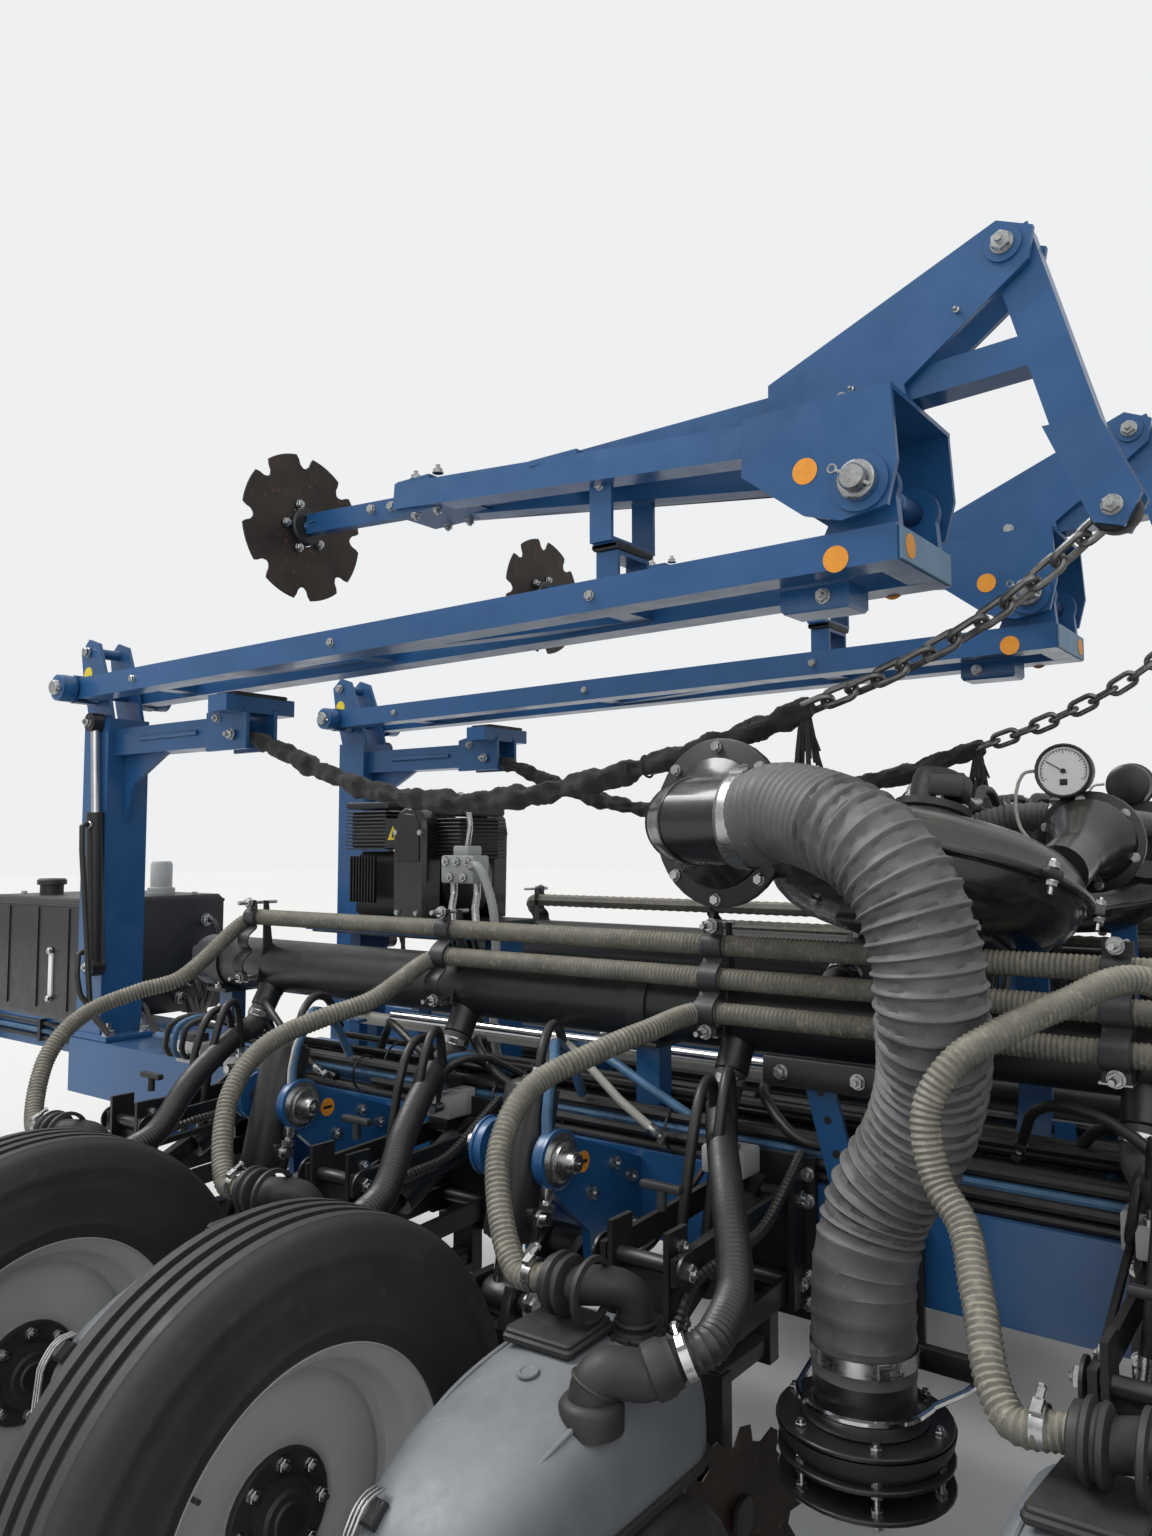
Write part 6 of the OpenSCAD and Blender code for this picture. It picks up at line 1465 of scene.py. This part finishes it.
def oil_tank():
    p = Part("oil_tank_body")
    base, high = 949.0, 490.0
    top = base + high
    p.block((7300, 0, base + high / 2), (760, 640, high), BLACK, 22)
    for s in (-1, 1):
        for x in (7060, 7300, 7540):
            p.block((x, s * 321, base + high / 2), (60, 8, high - 80), BLACK, 3)
        p.block((7300, s * 321, top - 26), (760, 8, 14), BLACK, 3)
        p.block((7160, s * 322, base + 180), (26, 10, 170), WHITE, 2)
        for z in (base + 84, base + 276):
            p.bolt((7160, s * 326, z), (0, s, 0), 24)
        for x in (6960, 7640):
            p.block((x, s * 200, base - 6), (70, 60, 14), MATT, 2)
            p.bolt((x, s * 200, top), Z, 22)
    p.block((7380, 0, 938), (500, 150, 24), BLACK, 3)
    p.lathe([(48, 0), (48, 40), (60, 42), (60, 62), (52, 68)], (7480, 160, top), Z, MATT, 32)
    p.lathe([(58, 0), (58, 26), (46, 30), (46, 130), (38, 142)], (7120, -140, top), Z, SILVER, 32)
    p.block((7300, 0, top + 10), (60, 90, 20), MATT, 3)
    # fittings on the rear face, with short lines
    for s in (-1, 1):
        for k, (x, z) in enumerate(((6960, 1330), (6960, 1200), (6960, 1080), (7010, 1010))):
            y = s * (230.0 - 40 * k)
            p.bolt((6919, y, z), (-1, 0, 0), 44, thread=16)
            p.tube(smooth([(6888, y, z), (6862, y, z - 4), (6838, y + s * 4, z - 60),
                           (6850, s * (210 - 34 * k), 1010), (6800, s * (150 - 16 * k), 960),
                           (6700, s * 112, 900)], 14), 12, HOSE, 10)
    p.make("tongue", 1, "black_paint", ["oil_tank"], suffix=False)


def platform_deck():
    """Grating, toe boards, ladder treads and rail joints."""
    p = Part("platform_deck")
    ox = -2300.0
    for k in range(24):
        p.block((ox - 320, -552 + 48 * k, 1136), (470, 5, 26), MATT, 1)
    for k in range(10):
        p.block((ox - 545 + 50 * k, 0, 1146), (6, 1110, 8), MATT, 1)
    for s in (-1, 1):
        p.block((ox - 320, s * 556, 1160), (484, 6, 80), BLACK, 2)
        for x in (ox - 540, ox - 120):
            p.lathe([(20, 0), (32, 0), (32, 8), (22, 12), (20, 12)], (x, s * 540, 1150), Z, MATT, 24,
                    loop=True)
            p.ring((x, s * 540, 1650), Z, 21, 3, MATT, 20, 6)
        p.lathe([(20.5, -60), (23, -60), (23, 60), (20.5, 60)], (ox - 570, s * 220, 1980), Z, ORANGE, 24,
                loop=True)
        for z in (470, 770, 1070):
            p.bolt((ox - 562, s * 246, z), (0, s, 0), 20)
    for z in (470, 770, 1070):
        for k in range(9):
            p.block((ox - 562, -180 + 45 * k, z + 16), (52, 8, 6), MATT, 1)
    p.make("center_frame", 1, "black_paint", suffix=False)


def seed_tank():
    """Bands, rib lines, level strip and mouth bolts of a tank, and the trim of its lid."""
    p = Part("seed_tank_trim")
    x0, x1, y0, y1, top = -2350.0, -560.0, 40.0, 1050.0, 2560.0
    mx, my = (x0 + x1) / 2, (y0 + y1) / 2
    for x in (-2000, -1455, -910):
        p.block((x, y1 + 4, 2060), (70, 10, 960), TANK, 5)
        p.block((x, y1 + 11, 2060), (44, 4, 900), TANK, 2)
        p.block((x, y1 - 110, top + 4), (70, 220, 10), TANK, 4)
    for z in (1640, 2480):
        p.block((mx, y1 + 4, z), (x1 - x0 - 20, 10, 34), TANK, 4)
        for x in (x0 - 4, x1 + 4):
            p.block((x, my, z), (10, y1 - y0 - 20, 34), TANK, 4)
    for x, f in ((x0, -1), (x1, 1)):
        p.block((x + f * 4, 760, 2060), (10, 60, 900), TANK, 4)
        p.block((x + f * 3, 380, 2060), (6, 90, 780), WHITE, 2)
        for k in range(14):
            p.block((x + f * 7, 380, 1720 + 50 * k), (2, 60 if k % 4 == 0 else 32, 3), BLACK, 0.5)
    for q in around((mx, my, top), X, Y, 280, 16):
        p.bolt(q, Z, 18)
    for side in (1, -1):
        p.make("center_frame", side, "tank")

    p = Part("tank_lid_trim")
    for k in range(8):
        c, s = cos(pi * k / 8), sin(pi * k / 8)
        p.block((mx, my, top + 122), (300, 12, 8), MATT, 2, ((c, s, 0), (-s, c, 0), Z))
    p.ring((mx, my, top + 96), Z, 244, 7, MATT, 56, 8)
    p.ring((mx, my, top + 121), Z, 158, 5, MATT, 48, 8)
    handle = [(-200, -60, 98), (-214, -60, 140), (-214, 60, 140), (-200, 60, 98)]
    p.tube(smooth(np.add((mx, my, top), handle), 10), 8, BLACK, 12)
    for y in (-40, 40):
        p.bolt((mx + 285, my + y, top + 94), Z, 18)
    p.both("tank_lid", "black_paint")


for draw in (wheels, row_units, seed_hoses, air_hoses, manifold, fan, diffuser, marker_chain, boom_fittings,
             arm_fittings, post_fittings, marker_disc, wing_lines, cylinder_details, centre_lines, compressor,
             tongue_fittings, oil_tank, platform_deck, seed_tank):
    draw()


# ---------------------------------------------------------------- floor and light
def studio():
    """Pale floor that meets the white background, and broad soft light from above and the camera's side."""
    n = Nodes("studio floor")
    n.bsdf.inputs["Base Color"].default_value = (0.62, 0.62, 0.61, 1)
    n.bsdf.inputs["Roughness"].default_value = 0.9
    mesh = bpy.data.meshes.new("floor")
    r = 60.0
    mesh.from_pydata([(-r, -r, 0), (r, -r, 0), (r, r, 0), (-r, r, 0)], [], [(0, 1, 2, 3)])
    mesh.materials.append(n.mat)
    floor = bpy.data.objects.new("floor", mesh)
    bpy.context.scene.collection.objects.link(floor)
    world = bpy.data.worlds.new("studio")
    bpy.context.scene.world = world
    world.use_nodes = True
    tree = world.node_tree
    tree.nodes.clear()
    new = tree.nodes.new
    out, mix, light, seen = (new("ShaderNodeOutputWorld"), new("ShaderNodeMixShader"),
                             new("ShaderNodeBackground"), new("ShaderNodeBackground"))
    sky, ramp, split = new("ShaderNodeTexCoord"), new("ShaderNodeValToRGB"), new("ShaderNodeSeparateXYZ")
    tree.links.new(sky.outputs["Generated"], split.inputs[0])
    tree.links.new(split.outputs["Z"], ramp.inputs["Fac"])
    e = ramp.color_ramp.elements
    e[0].position, e[0].color = 0.0, (0.55, 0.56, 0.58, 1)
    e[1].position, e[1].color = 0.75, (1.0, 1.0, 1.0, 1)
    tree.links.new(ramp.outputs["Color"], light.inputs["Color"])
    light.inputs["Strength"].default_value = 0.85
    seen.inputs["Color"].default_value = (0.86, 0.87, 0.88, 1)
    seen.inputs["Strength"].default_value = 1.0
    path = new("ShaderNodeLightPath")
    tree.links.new(path.outputs["Is Camera Ray"], mix.inputs[0])
    tree.links.new(light.outputs[0], mix.inputs[1])
    tree.links.new(seen.outputs[0], mix.inputs[2])
    tree.links.new(mix.outputs[0], out.inputs["Surface"])
    for name, energy, size, turn in (("key", 2.2, 28, (38, 12, 100)), ("fill", 0.7, 60, (60, 0, 215))):
        lamp = bpy.data.lights.new(name, "SUN")
        lamp.energy, lamp.angle = energy, radians(size)
        obj = bpy.data.objects.new(name, lamp)
        obj.rotation_euler = [radians(t) for t in turn]
        bpy.context.scene.collection.objects.link(obj)
    bpy.context.scene.view_settings.view_transform = "Standard"


studio()
